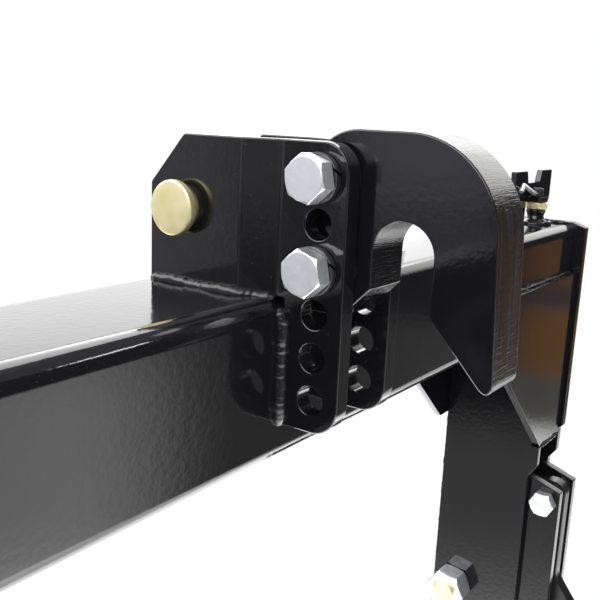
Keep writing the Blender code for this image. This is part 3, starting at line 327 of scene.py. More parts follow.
def coat_paint(name, colour, smooth, dull, peel_depth, dust):
    """Powder coat: near black under a glossy film, duller where the haze is thick."""
    paint = bpy.data.materials.new(name)
    paint.use_nodes = True
    tree = paint.node_tree
    shader = tree.nodes["Principled BSDF"]
    skin = tree.nodes.new("ShaderNodeGroup")
    skin.node_tree = coat_group
    skin.inputs["Peel Depth"].default_value = peel_depth
    skin.inputs["Dust"].default_value = dust
    tint = tree.nodes.new("ShaderNodeMix")
    tint.data_type = "RGBA"
    tint.inputs["A"].default_value = colour
    tint.inputs["B"].default_value = DUST_GREY
    gloss = tree.nodes.new("ShaderNodeMapRange")
    gloss.inputs["From Min"].default_value = 0.3
    gloss.inputs["From Max"].default_value = 0.7
    gloss.inputs["To Min"].default_value = smooth
    gloss.inputs["To Max"].default_value = dull
    tree.links.new(skin.outputs["Dust"], tint.inputs["Factor"])
    tree.links.new(tint.outputs["Result"], shader.inputs["Base Color"])
    tree.links.new(skin.outputs["Haze"], gloss.inputs["Value"])
    tree.links.new(gloss.outputs["Result"], shader.inputs["Roughness"])
    tree.links.new(skin.outputs["Normal"], shader.inputs["Normal"])
    return paint


gloss_black = coat_paint("gloss_black_coat", COAT_BLACK, smooth=0.06, dull=0.13,
                         peel_depth=0.10, dust=0.5)


def pick(piece):
    """Select one piece alone."""
    bpy.ops.object.select_all(action="DESELECT")
    piece.select_set(True)
    bpy.context.view_layer.objects.active = piece


def work(piece, kind, **settings):
    """Put one modifier on a piece and apply it."""
    step = piece.modifiers.new(kind.lower(), kind)
    for setting, value in settings.items():
        setattr(step, setting, value)
    pick(piece)
    bpy.ops.object.modifier_apply(modifier=step.name)


def hang(piece, finish, body="frame", replaces=(), smooth=38):
    """Finish a piece: its place goes into its mesh, then come its coat and body, and the imported
    pieces it replaces are hidden.
    """
    pick(piece)
    bpy.ops.object.transform_apply(location=True, rotation=True, scale=True)
    bpy.ops.object.shade_smooth_by_angle(angle=math.radians(smooth))
    work(piece, "WEIGHTED_NORMAL", mode="FACE_AREA", weight=100, keep_sharp=True)
    piece.data.materials.clear()
    piece.data.materials.append(finish)
    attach(piece, body)
    if replaces:
        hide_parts(*replaces)
    return piece


def choose(piece, wanted):
    """Select only the points of a piece whose place is wanted."""
    for face in piece.data.polygons:
        face.select = False
    for edge in piece.data.edges:
        edge.select = False
    for point in piece.data.vertices:
        point.select = wanted(point.co)


def cut_plate(name, corners, thickness, middle_x):
    """Lay out corners (y, z, radius) as one flat face, round them, and give it its thickness."""
    bpy.ops.object.select_all(action="DESELECT")
    bpy.ops.mesh.primitive_circle_add(vertices=len(corners), fill_type="NGON")
    piece = bpy.context.object
    piece.name = name
    for point, (y, z, _) in zip(piece.data.vertices, corners):
        point.co = (middle_x - thickness / 2, y, z)
    piece.data.update()
    for index, (y, z, radius) in enumerate(corners):
        if not radius:
            continue
        here = Vector((y, z))
        back = Vector(corners[index - 1][:2]) - here
        ahead = Vector(corners[(index + 1) % len(corners)][:2]) - here
        corner_angle = back.angle(ahead)
        choose(piece, lambda place: (place.yz - here).length < CORNER_REACH)
        bpy.ops.object.mode_set(mode="EDIT")
        bpy.ops.mesh.bevel(
            offset=radius / math.tan(corner_angle / 2), offset_type="OFFSET", affect="VERTICES",
            segments=max(3, round(math.degrees(math.pi - corner_angle) / 6)), profile=0.5)
        bpy.ops.mesh.select_all(action="DESELECT")
        bpy.ops.object.mode_set(mode="OBJECT")
    bpy.ops.object.mode_set(mode="EDIT")
    bpy.ops.mesh.select_all(action="SELECT")
    bpy.ops.mesh.extrude_region_move(TRANSFORM_OT_translate={"value": (thickness, 0, 0)})
    bpy.ops.mesh.select_all(action="SELECT")
    bpy.ops.mesh.normals_make_consistent(inside=False)
    bpy.ops.object.mode_set(mode="OBJECT")
    return piece


bar_low, bar_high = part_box("crossbar")
BAR_MIDDLE_Y = (bar_low[1] + bar_high[1]) / 2
bar = cut_plate("crossbar_finished", [
    (BAR_MIDDLE_Y + across * BAR_HALF, up * BAR_HALF, BAR_ROLL)
    for across, up in ((1, -1), (1, 1), (-1, 1), (-1, -1))], bar_high[0] - bar_low[0], 0.0)
hang(bar, gloss_black, replaces=("crossbar",))


# ---- Bracket plates ----
# Two 9.5 mm plates, cropped at the rear and joggled outwards behind the bar's front face. They are
# flame cut, drilled and then welded astride the bar.
SIDES = (("left", -1), ("right", 1))
PLATE_THICK = 0.0095
PLATE_INNER_X = 0.0163
PLATE_EDGE = 0.0008
PLATE_FOOT = -0.0197
JOGGLE_START = -0.0778
JOGGLE_RUN = 0.0189
JOGGLE_OUT = 0.0079
JOGGLE_BLEND = 0.08
JOGGLE_CUTS = (0.0, 0.04, 0.08, 0.12, 0.16, 0.84, 0.88, 0.92, 0.96, 1.0)
PLATE_CORNERS = (
    (-0.0042, 0.0403, 0), (-0.0042, 0.0872, 0.002), (-0.0252, 0.1108, 0.003),
    (-0.1114, 0.1108, 0.0134), (-0.1114, PLATE_FOOT, 0.0134),
    (-0.0803, PLATE_FOOT, 0), (-0.0803, 0.0403, 0),
)
HOLE_COLUMN_Y = -0.0969
HOLE_TOP_Z = 0.0954
HOLE_STEP = 0.020
HOLE_COUNT = 6
BOLT_HOLE = 0.00675
LINK_HOLE_Y = -0.025
LINK_HOLE_Z = 0.0767
LINK_HOLE = 0.00993


def round_edges(piece, radius, segments=3, limit=30):
    """Break every sharp edge with a small radius, as the coat does."""
    work(piece, "BEVEL", width=radius, segments=segments, limit_method="ANGLE",
         angle_limit=math.radians(limit), use_clamp_overlap=False)


def score(piece, place, across):
    """Score a line round a piece where a plane cuts it."""
    pick(piece)
    bpy.ops.object.mode_set(mode="EDIT")
    bpy.ops.mesh.select_all(action="SELECT")
    bpy.ops.mesh.bisect(plane_co=place, plane_no=across)
    bpy.ops.object.mode_set(mode="OBJECT")


def cut_with(piece, tool, operation="DIFFERENCE"):
    """Cut a piece with the shape of a tool, and put the tool away."""
    work(piece, "BOOLEAN", object=tool, operation=operation, solver="EXACT")
    bpy.data.objects.remove(tool, do_unlink=True)


def drill(piece, radius, place, axis="X", sides=56, depth=0.2):
    """Drill a round hole through a piece, along X or Z."""
    bpy.ops.object.select_all(action="DESELECT")
    bpy.ops.mesh.primitive_cylinder_add(
        vertices=sides, radius=radius, depth=depth, location=place,
        rotation=(0, math.radians(90) if axis == "X" else 0, 0))
    cut_with(piece, bpy.context.object)


def joggle_shift(y):
    """How far a point is pressed outwards: a straight ramp with a short bend at each end."""
    along = min(1.0, max(0.0, (y - JOGGLE_START) / JOGGLE_RUN))
    slope = JOGGLE_OUT / (1 - 2 * JOGGLE_BLEND)
    near_end = min(along, 1 - along)
    if near_end < 2 * JOGGLE_BLEND:
        curved = slope * near_end ** 2 / (4 * JOGGLE_BLEND)
        return curved if along < 0.5 else JOGGLE_OUT - curved
    return slope * (along - JOGGLE_BLEND)


for side_name, side in SIDES:
    plate = cut_plate(side_name + "_bracket_plate_finished", PLATE_CORNERS, PLATE_THICK,
                      side * (PLATE_INNER_X + PLATE_THICK / 2))
    score(plate, (0, HOLE_COLUMN_Y, 0), (0, 1, 0))
    score(plate, (0, 0, LINK_HOLE_Z), (0, 0, 1))
    for step in range(HOLE_COUNT):
        drill(plate, BOLT_HOLE, (0, HOLE_COLUMN_Y, HOLE_TOP_Z - HOLE_STEP * step))
    drill(plate, LINK_HOLE, (0, LINK_HOLE_Y, LINK_HOLE_Z))
    for cut in JOGGLE_CUTS:
        score(plate, (0, JOGGLE_START + JOGGLE_RUN * cut, 0), (0, 1, 0))
    for point in plate.data.vertices:
        point.co.x += side * joggle_shift(point.co.y)
    plate.data.update()
    round_edges(plate, PLATE_EDGE, limit=40)
    hang(plate, gloss_black, replaces=(side_name + "_bracket_plate",))


# ---- Weld beads ----
# Fillet welds laid by hand along the seams of the frame and coated with it: lumpy, rippled every
# few millimetres, and drawn in at both ends. The coat is duller on them.
BEAD_RIPPLE = 0.0031
BEAD_STEP = 0.0006
BEAD_LUMP = 0.0016
BEAD_WANDER = 0.0004
TOP_BEAD = 0.0032
FRONT_BEAD = 0.0040
INSIDE_BEAD = 0.0024
SAME_POINT = 0.00001

weld_black = coat_paint("weld_black_coat", COAT_BLACK, smooth=0.20, dull=0.34,
                        peel_depth=0.25, dust=0.3)
random.seed(41)
lump = bpy.data.textures.new("weld_lumps", "CLOUDS")
lump.noise_scale = 0.0040
lump.noise_depth = 1


def round_wire(name, knots, radius, rounding):
    """Draw a round wire along (point, swell) knots, and give back its closed mesh."""
    curve = bpy.data.curves.new(name, "CURVE")
    curve.dimensions = "3D"
    curve.bevel_depth = radius
    curve.bevel_resolution = rounding
    curve.use_fill_caps = True
    run = curve.splines.new("POLY")
    run.points.add(len(knots) - 1)
    for knot, (point, swell) in zip(run.points, knots):
        knot.co = (*point, 1)
        knot.radius = swell
    piece = bpy.data.objects.new(name, curve)
    bpy.context.scene.collection.objects.link(piece)
    pick(piece)
    bpy.ops.object.convert(target="MESH")
    piece = bpy.context.object
    bpy.ops.object.mode_set(mode="EDIT")
    bpy.ops.mesh.select_all(action="SELECT")
    bpy.ops.mesh.remove_doubles(threshold=SAME_POINT)
    bpy.ops.mesh.normals_make_consistent(inside=False)
    bpy.ops.object.mode_set(mode="OBJECT")
    return piece


def lay_bead(points, radius):
    """Lay a rippled bead along a line of points, and give back its mesh."""
    line = [Vector(point) for point in points]
    stations = []
    for start, end in zip(line, line[1:]):
        count = max(1, round((end - start).length / BEAD_STEP))
        stations += [start.lerp(end, index / count) for index in range(count)]
    stations.append(line[-1])
    phase = random.random() * BEAD_RIPPLE
    drift = random.random() * 10
    knots = []
    for index, station in enumerate(stations):
        travelled = index * BEAD_STEP
        ripple = math.sin(math.pi * (travelled + phase) / BEAD_RIPPLE) ** 2
        wander = math.sin(travelled * 190 + drift) * BEAD_WANDER
        ends = min(index, len(stations) - 1 - index) * BEAD_STEP / radius
        knots.append((station + Vector((wander, wander, -wander)),
                      (0.97 + 0.03 * ripple) * min(1.0, 0.45 + 0.6 * ends)))
    bead = round_wire("weld_bead", knots, radius, 2)
    work(bead, "DISPLACE", texture=lump, strength=BEAD_LUMP, mid_level=0.5,
         texture_coords="GLOBAL")
    return bead


def join(name, pieces):
    """Join finished shapes into one piece."""
    bpy.ops.object.select_all(action="DESELECT")
    for piece in pieces:
        piece.select_set(True)
    bpy.context.view_layer.objects.active = pieces[0]
    bpy.ops.object.join()
    pieces[0].name = name
    return pieces[0]


BAR_TOP = bar_high[2]
BAR_UNDER = bar_low[2]
BAR_FRONT = bar_low[1]
BAR_REAR = bar_high[1]
JOGGLE_END = JOGGLE_START + JOGGLE_RUN
beads = []
for side in (-1, 1):
    front_x = side * (PLATE_INNER_X + PLATE_THICK + 0.0006)
    rear_x = front_x + side * JOGGLE_OUT
    beads.append(lay_bead((
        (rear_x, -0.0066, BAR_TOP + 0.0006), (rear_x, JOGGLE_END, BAR_TOP + 0.0006),
        (front_x, JOGGLE_START + 0.002, BAR_TOP)), TOP_BEAD))
    beads.append(lay_bead((
        (front_x, JOGGLE_START - 0.0005, BAR_TOP - 0.004),
        (front_x, BAR_FRONT - 0.0006, BAR_TOP - 0.010),
        (front_x, BAR_FRONT - 0.0006, PLATE_FOOT)), FRONT_BEAD))
    inside_x = side * (PLATE_INNER_X + JOGGLE_OUT - 0.0004)
    beads.append(lay_bead((
        (inside_x, -0.006, BAR_TOP + 0.0004),
        (inside_x, JOGGLE_END, BAR_TOP + 0.0004)), INSIDE_BEAD))
bracket_beads = join("bracket_welds", beads)
hang(bracket_beads, weld_black, smooth=180)


# ---- Top hook ----
# A 28 mm plate, flame cut to a hook whose slot opens downwards. The torch leaves fine drag lines
# across the cut edges. Brown and bluish bands painted into the colour of the front cut edges, under
# the thin coat, stand in for reflections.
HOOK_THICK = 0.028
HOOK_EDGE = 0.0009
DRAG_GRAIN = 1500.0
DRAG_HEIGHT = 0.0003
# Grain of the painted reflection bands, and the Y where they begin and reach full strength towards
# the hook's front.
PAINTED_REFLECTION_GRAIN = 330.0
PAINTED_REFLECTION_START_Y = -0.150
PAINTED_REFLECTION_FULL_Y = -0.156
HOOK_CORNERS = (
    (-0.0820, 0.0340, 0.003), (-0.0820, 0.1165, 0.026), (-0.1721, 0.1165, 0.042),
    (-0.1774, 0.0079, 0.004), (-0.1469, 0.0408, 0.001), (-0.1469, 0.0794, 0.01454),
    (-0.1178, 0.0794, 0.01454), (-0.1178, 0.0483, 0.001), (-0.1035, 0.0340, 0.001),
)

flame_cut_black = coat_paint("flame_cut_black_coat", COAT_BLACK, smooth=0.07, dull=0.16,
                             peel_depth=0.10, dust=0.3)
tree = flame_cut_black.node_tree
where = tree.nodes.new("ShaderNodeTexCoord")
along_cut = tree.nodes.new("ShaderNodeMapping")
along_cut.inputs["Scale"].default_value = (0.05, 1.0, 1.0)
drag = tree.nodes.new("ShaderNodeTexNoise")
drag.inputs["Scale"].default_value = DRAG_GRAIN
drag.inputs["Detail"].default_value = 2.0
facing = tree.nodes.new("ShaderNodeSeparateXYZ")
flatness = tree.nodes.new("ShaderNodeMath")
flatness.operation = "ABSOLUTE"
edge_only = tree.nodes.new("ShaderNodeMapRange")
edge_only.inputs["From Min"].default_value = 0.9
edge_only.inputs["From Max"].default_value = 0.3
lines = tree.nodes.new("ShaderNodeMath")
lines.operation = "MULTIPLY"
ridges = tree.nodes.new("ShaderNodeBump")
ridges.inputs["Distance"].default_value = DRAG_HEIGHT
ridges.inputs["Strength"].default_value = 0.55
tree.links.new(where.outputs["Object"], along_cut.inputs["Vector"])
tree.links.new(along_cut.outputs["Vector"], drag.inputs["Vector"])
tree.links.new(where.outputs["Normal"], facing.inputs["Vector"])
tree.links.new(facing.outputs["X"], flatness.inputs[0])
tree.links.new(flatness.outputs[0], edge_only.inputs["Value"])
tree.links.new(drag.outputs["Fac"], lines.inputs[0])
tree.links.new(edge_only.outputs["Result"], lines.inputs[1])
tree.links.new(lines.outputs[0], ridges.inputs["Height"])
shader = tree.nodes["Principled BSDF"]
skin = next(node for node in tree.nodes if node.type == "GROUP")
tree.links.new(skin.outputs["Normal"], ridges.inputs["Normal"])
tree.links.new(ridges.outputs["Normal"], shader.inputs["Normal"])
# Painted reflection: noise bands of brown and bluish grey mixed into the base colour of the cut
# edges.
band_place = tree.nodes.new("ShaderNodeMapping")
band_place.inputs["Scale"].default_value = (1.0, 0.02, 0.02)
bands = tree.nodes.new("ShaderNodeTexNoise")
bands.inputs["Scale"].default_value = PAINTED_REFLECTION_GRAIN
bands.inputs["Detail"].default_value = 2.5
painted_reflection_colour = tree.nodes.new("ShaderNodeValToRGB")
steps = painted_reflection_colour.color_ramp.elements
steps[0].position, steps[0].color = 0.36, (0.010, 0.010, 0.011, 1)
steps[1].position, steps[1].color = 0.72, (0.012, 0.012, 0.013, 1)
for at, tone in ((0.44, (0.032, 0.022, 0.014, 1)), (0.50, (0.012, 0.011, 0.011, 1)),
                 (0.56, (0.030, 0.034, 0.043, 1)), (0.62, (0.018, 0.014, 0.011, 1))):
    steps.new(at).color = tone
banded = tree.nodes.new("ShaderNodeMix")
banded.data_type = "RGBA"
coat_tint = next(node for node in tree.nodes if node.type == "MIX")
tree.links.new(where.outputs["Object"], band_place.inputs["Vector"])
tree.links.new(band_place.outputs["Vector"], bands.inputs["Vector"])
tree.links.new(bands.outputs["Fac"], painted_reflection_colour.inputs["Fac"])
# Where the painted reflection shows: only on cut edges that lie towards the hook's front.
spot = tree.nodes.new("ShaderNodeSeparateXYZ")
front_only = tree.nodes.new("ShaderNodeMapRange")
front_only.inputs["From Min"].default_value = PAINTED_REFLECTION_START_Y
front_only.inputs["From Max"].default_value = PAINTED_REFLECTION_FULL_Y
painted_reflection_mask = tree.nodes.new("ShaderNodeMath")
painted_reflection_mask.operation = "MULTIPLY"
tree.links.new(where.outputs["Object"], spot.inputs["Vector"])
tree.links.new(spot.outputs["Y"], front_only.inputs["Value"])
tree.links.new(front_only.outputs["Result"], painted_reflection_mask.inputs[0])
tree.links.new(edge_only.outputs["Result"], painted_reflection_mask.inputs[1])
tree.links.new(painted_reflection_mask.outputs[0], banded.inputs["Factor"])
tree.links.new(coat_tint.outputs["Result"], banded.inputs["A"])
tree.links.new(painted_reflection_colour.outputs["Color"], banded.inputs["B"])
tree.links.new(banded.outputs["Result"], shader.inputs["Base Color"])

hook = cut_plate("top_hook_finished", HOOK_CORNERS, HOOK_THICK, 0.0)
score(hook, (0, HOLE_COLUMN_Y, 0), (0, 1, 0))
for step in (0, 2):
    drill(hook, BOLT_HOLE, (0, HOLE_COLUMN_Y, HOLE_TOP_Z - HOLE_STEP * step))
round_edges(hook, HOOK_EDGE, limit=40)
hang(hook, flame_cut_black, replaces=("top_hook",))


# ---- Hook bolts ----
# Half inch hexagon bolts, heads on the left over split lock washers, nuts on the right, and a thin
# spacer washer on each side of the hook. All but the lock washers are bright zinc plated.
BOLT_RADIUS = 0.00635
BOLT_HEX = 0.01905
BOLT_HEAD_HIGH = 0.0084
WASHER_BORE = BOLT_RADIUS + 0.0003
THREAD_PITCH = 0.00195
THREAD_DEPTH = 0.55
THREADED = 0.026
SPLIT_CUT = (0.012, 0.012, 0.0009)
SPLIT_TURN = (math.radians(22), math.radians(28), 0)
HEX_CHAMFER = 30
HEX_CROWN = 0.97
HEX_EDGE = 0.0003
ZINC = (0.94, 0.95, 0.97, 1.0)
ZINC_SHADE = (0.70, 0.72, 0.76, 1.0)
STEEL_GREY = (0.10, 0.10, 0.105, 1.0)
STEEL_SHADE = (0.05, 0.05, 0.055, 1.0)
PLATING = 0.8

zinc_group = bpy.data.node_groups.new("plated_skin", "ShaderNodeTree")
zinc_group.interface.new_socket("Cloud", in_out="OUTPUT", socket_type="NodeSocketFloat")
zinc_group.interface.new_socket("Normal", in_out="OUTPUT", socket_type="NodeSocketVector")
nodes, links = zinc_group.nodes, zinc_group.links
result = nodes.new("NodeGroupOutput")
where = nodes.new("ShaderNodeTexCoord")
cloud = nodes.new("ShaderNodeTexNoise")
cloud.inputs["Scale"].default_value = 160.0
cloud.inputs["Detail"].default_value = 4.0
grain = nodes.new("ShaderNodeTexNoise")
grain.inputs["Scale"].default_value = 900.0
grain.inputs["Detail"].default_value = 2.0
dents = nodes.new("ShaderNodeBump")
dents.inputs["Distance"].default_value = 0.0002
dents.inputs["Strength"].default_value = 0.12
links.new(where.outputs["Object"], cloud.inputs["Vector"])
links.new(where.outputs["Object"], grain.inputs["Vector"])
links.new(grain.outputs["Fac"], dents.inputs["Height"])
links.new(cloud.outputs["Fac"], result.inputs["Cloud"])
links.new(dents.outputs["Normal"], result.inputs["Normal"])


def plate_metal(name, light, shade, smooth, dull):
    """Plated steel whose colour and polish drift a little over the surface."""
    metal = bpy.data.materials.new(name)
    metal.use_nodes = True
    tree = metal.node_tree
    shader = tree.nodes["Principled BSDF"]
    shader.inputs["Metallic"].default_value = PLATING
    skin = tree.nodes.new("ShaderNodeGroup")
    skin.node_tree = zinc_group
    tint = tree.nodes.new("ShaderNodeMix")
    tint.data_type = "RGBA"
    tint.inputs["A"].default_value = light
    tint.inputs["B"].default_value = shade
    spread = tree.nodes.new("ShaderNodeMapRange")
    spread.inputs["From Min"].default_value = 0.35
    spread.inputs["From Max"].default_value = 0.65
    polish = tree.nodes.new("ShaderNodeMapRange")
    polish.inputs["From Min"].default_value = 0.3
    polish.inputs["From Max"].default_value = 0.7
    polish.inputs["To Min"].default_value = smooth
    polish.inputs["To Max"].default_value = dull
    tree.links.new(skin.outputs["Cloud"], spread.inputs["Value"])
    tree.links.new(spread.outputs["Result"], tint.inputs["Factor"])
    tree.links.new(tint.outputs["Result"], shader.inputs["Base Color"])
    tree.links.new(skin.outputs["Cloud"], polish.inputs["Value"])
    tree.links.new(polish.outputs["Result"], shader.inputs["Roughness"])
    tree.links.new(skin.outputs["Normal"], shader.inputs["Normal"])
    return metal


bright_zinc = plate_metal("bright_zinc", ZINC, ZINC_SHADE, smooth=0.28, dull=0.42)
spring_steel = plate_metal("spring_steel", STEEL_GREY, STEEL_SHADE, smooth=0.28, dull=0.42)


def turn(name, profile, at, axis="X", steps=64, edge=0.0):
    """Turn a closed profile of (radius, along) points on the lathe, about X or Z."""
    bpy.ops.object.select_all(action="DESELECT")
    bpy.ops.mesh.primitive_circle_add(vertices=len(profile), fill_type="NOTHING")
    piece = bpy.context.object
    piece.name = name
    for point, (radius, along) in zip(piece.data.vertices, profile):
        point.co = (radius, 0, along)
    piece.data.update()
    work(piece, "SCREW", axis="Z", steps=steps, render_steps=steps, use_merge_vertices=True,
         merge_threshold=SAME_POINT)
    bpy.ops.object.mode_set(mode="EDIT")
    bpy.ops.mesh.select_all(action="SELECT")
    bpy.ops.mesh.remove_doubles(threshold=SAME_POINT)
    bpy.ops.mesh.dissolve_degenerate(threshold=SAME_POINT)
    bpy.ops.mesh.normals_make_consistent(inside=False)
    bpy.ops.mesh.delete_loose(use_verts=True, use_edges=True, use_faces=False)
    bpy.ops.object.mode_set(mode="OBJECT")
    if edge:
        round_edges(piece, edge, limit=25)
    piece.rotation_euler = (0, math.radians(90), 0) if axis == "X" else (0, 0, 0)
    piece.location = at
    pick(piece)
    bpy.ops.object.transform_apply(location=True, rotation=True, scale=True)
    return piece


def hexagon(name, flats, height, at, turned=0.0, both=False, bore=0.0, axis="X", facing=1):
    """Forged hexagon whose corners are turned off on its outer face, or on both faces."""
    corner = flats / math.sqrt(3)
    bpy.ops.object.select_all(action="DESELECT")
    bpy.ops.mesh.primitive_cylinder_add(
        vertices=6, radius=corner, depth=height, rotation=(0, 0, turned))
    piece = bpy.context.object
    piece.name = name
    bpy.ops.object.transform_apply(location=True, rotation=True, scale=True)
    crown = HEX_CROWN * flats / 2
    outside = corner + 0.001
    rim = (outside - crown) * math.tan(math.radians(HEX_CHAMFER))
    high = height / 2 + 0.00005
    profile = [(0, high), (crown, high), (outside, high - rim)]
    profile += [(outside, rim - high), (crown, -high)] if both else [(outside, -high)]
    profile += [(0, -high)]
    if facing < 0:
        profile = [(radius, -along) for radius, along in profile]
    cut_with(piece, turn("turned_corners", profile, (0, 0, 0), "Z", 72), "INTERSECT")
    if bore:
        drill(piece, bore, (0, 0, 0), "Z", 48, 2 * height)
    pick(piece)
    bpy.ops.object.mode_set(mode="EDIT")
    bpy.ops.mesh.select_all(action="SELECT")
    bpy.ops.mesh.remove_doubles(threshold=SAME_POINT)
    bpy.ops.mesh.dissolve_degenerate(threshold=SAME_POINT)
    bpy.ops.object.mode_set(mode="OBJECT")
    round_edges(piece, HEX_EDGE, segments=2, limit=18)
    if axis == "X":
        piece.rotation_euler = (0, math.radians(90), 0)
    piece.location = at
    pick(piece)
    bpy.ops.object.transform_apply(location=True, rotation=True, scale=True)
    return piece


def roll_thread(radius, pitch, start, length):
    """Rolled thread along X: a ridge with a three cornered section, wound round its core."""
    bpy.ops.object.select_all(action="DESELECT")
    bpy.ops.mesh.primitive_circle_add(vertices=3, fill_type="NOTHING")
    piece = bpy.context.object
    piece.name = "thread"
    core = radius - THREAD_DEPTH * pitch
    for point, (reach, along) in zip(piece.data.vertices, (
            (core, -0.45 * pitch), (radius, 0), (core, 0.45 * pitch))):
        point.co = (reach, 0, along)
    piece.data.update()
    turns = max(1, round(length / pitch) - 1)
    work(piece, "SCREW", axis="Z", steps=28, render_steps=28, screw_offset=pitch,
         iterations=turns)
    bpy.ops.object.mode_set(mode="EDIT")
    bpy.ops.mesh.select_all(action="SELECT")
    bpy.ops.mesh.fill_holes(sides=4)
    bpy.ops.mesh.normals_make_consistent(inside=False)
    bpy.ops.object.mode_set(mode="OBJECT")
    piece.rotation_euler = (0, math.radians(90), 0)
    piece.location = Vector(start) + Vector((pitch / 2, 0, 0))
    pick(piece)
    bpy.ops.object.transform_apply(location=True, rotation=True, scale=True)
    return piece


def hex_bolt(node, y, z, turned_by, facing):
    """Make a packed bolt anew: a hexagon head, a plain shank and a rolled thread at its end."""
    low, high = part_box(node)
    face, tip = (low[0], high[0]) if facing < 0 else (high[0], low[0])
    seat = face - facing * BOLT_HEAD_HIGH
    head = hexagon("head", BOLT_HEX, BOLT_HEAD_HIGH, ((face + seat) / 2, y, z),
                   math.radians(turned_by), facing=facing)
    ahead = -facing
    long = abs(tip - seat)
    core = BOLT_RADIUS - THREAD_DEPTH * THREAD_PITCH
    shank = turn("shank", [(radius, ahead * along) for radius, along in (
        (0, -0.001), (BOLT_RADIUS, -0.001), (BOLT_RADIUS, long - THREADED - 0.001),
        (core, long - THREADED), (core, long - 0.0005), (core - 0.001, long), (0, long))],
        (seat, y, z), "X", 48)
    thread_start = min(tip, tip - ahead * THREADED) + (0.001 if ahead < 0 else 0)
    thread = roll_thread(BOLT_RADIUS, THREAD_PITCH, (thread_start, y, z), THREADED - 0.001)
    bolt = join(node + "_finished", [head, shank, thread])
    hang(bolt, bright_zinc, replaces=(node,), smooth=25)


def hex_nut(node, flats, y, z, turned_by, bore):
    """Make a packed nut anew, with both faces chamfered and its bore open."""
    low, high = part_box(node)
    nut = hexagon(node + "_finished", flats, high[0] - low[0], ((low[0] + high[0]) / 2, y, z),
                  math.radians(turned_by), both=True, bore=bore)
    hang(nut, bright_zinc, replaces=(node,), smooth=25)


def flat_washer(node, y, z, split_ring=False):
    """Make a packed washer or spacer anew, its rims slightly rounded. A lock washer is split."""
    low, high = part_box(node)
    middle_x = (low[0] + high[0]) / 2
    outer, thickness = (high[1] - low[1]) / 2, high[0] - low[0]
    half = thickness / 2
    flat = turn(node + "_finished", (
        (WASHER_BORE, -half), (outer, -half), (outer, half), (WASHER_BORE, half)),
        (middle_x, y, z), "X", 64, edge=min(0.0004, thickness / 5))
    if not split_ring:
        return hang(flat, bright_zinc, replaces=(node,))
    bpy.ops.object.select_all(action="DESELECT")
    bpy.ops.mesh.primitive_cube_add(size=1, location=(middle_x, y - 0.009, z + 0.0035))
    saw = bpy.context.object
    saw.scale = SPLIT_CUT
    saw.rotation_euler = SPLIT_TURN
    cut_with(flat, saw)
    return hang(flat, spring_steel, replaces=(node,))


for name, height, turned_by in (
        ("upper", HOLE_TOP_Z, 18), ("lower", HOLE_TOP_Z - 2 * HOLE_STEP, 18.5)):
    hex_bolt(name + "_hook_bolt", HOLE_COLUMN_Y, height, turned_by, -1)
    hex_nut(name + "_hook_nut", BOLT_HEX, HOLE_COLUMN_Y, height, -turned_by, BOLT_RADIUS)
    flat_washer(name + "_hook_washer", HOLE_COLUMN_Y, height, split_ring=True)
    for side_name in ("left", "right"):
        flat_washer(side_name + "_" + name + "_hook_spacer", HOLE_COLUMN_Y, height)


# ---- Top link pin ----
# A 19 mm pin with a flat round head, yellow zinc plated and loose in both bracket plates. A spring
# clip through its far end keeps it in.
PASSIVATE = (0.90, 0.82, 0.43, 1.0)
PASSIVATE_PINK = (0.88, 0.79, 0.50, 1.0)
PIN_SHANK = 0.009525
PIN_HEAD = 0.0130
PIN_HEAD_THICK = 0.0045
CLIP_HOLE = 0.0019
CAD_SAME_POINT = 0.00005

yellow_zinc = plate_metal("yellow_zinc", PASSIVATE, PASSIVATE_PINK, smooth=0.36, dull=0.48)
low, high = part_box("top_link_pin")
head_back = low[0] + PIN_HEAD_THICK
pin = turn("top_link_pin_finished", (
    (0, low[0]), (PIN_HEAD - 0.0012, low[0]), (PIN_HEAD - 0.0003, low[0] + 0.0004),
    (PIN_HEAD, low[0] + 0.0013), (PIN_HEAD, head_back - 0.0010), (PIN_HEAD - 0.0010, head_back),
    (PIN_SHANK + 0.0008, head_back), (PIN_SHANK, head_back + 0.0008),
    (PIN_SHANK, high[0] - 0.002), (PIN_SHANK - 0.002, high[0]), (0, high[0])),
    (0, LINK_HOLE_Y, LINK_HOLE_Z), "X", 96, edge=0.0003)
clip_low, clip_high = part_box("top_link_pin_clip")
drill(pin, CLIP_HOLE, ((clip_low[0] + clip_high[0]) / 2, LINK_HOLE_Y, LINK_HOLE_Z), "Z", 32, 0.05)
hang(pin, yellow_zinc, "top_link_pin", ("top_link_pin",))


def copy_node(node):
    """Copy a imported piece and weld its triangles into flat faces."""
    source = frame["nodes"][node]
    piece = source.copy()
    piece.data = source.data.copy()
    piece.name = node + "_finished"
    bpy.context.scene.collection.objects.link(piece)
    pick(piece)
    bpy.ops.object.parent_clear(type="CLEAR_KEEP_TRANSFORM")
    bpy.ops.mesh.customdata_custom_splitnormals_clear()
    bpy.ops.object.mode_set(mode="EDIT")
    bpy.ops.mesh.select_all(action="SELECT")
    bpy.ops.mesh.remove_doubles(threshold=CAD_SAME_POINT)
    bpy.ops.mesh.dissolve_limited(angle_limit=math.radians(0.5))
    bpy.ops.object.mode_set(mode="OBJECT")
    return piece


def dress(node, radius, finish, body="frame", smooth=38):
    """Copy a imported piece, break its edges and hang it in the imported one's place."""
    piece = copy_node(node)
    if radius:
        round_edges(piece, radius, 2)
    return hang(piece, finish, body, (node,), smooth)


dress("top_link_pin_clip", 0, bright_zinc, "top_link_pin", smooth=60)


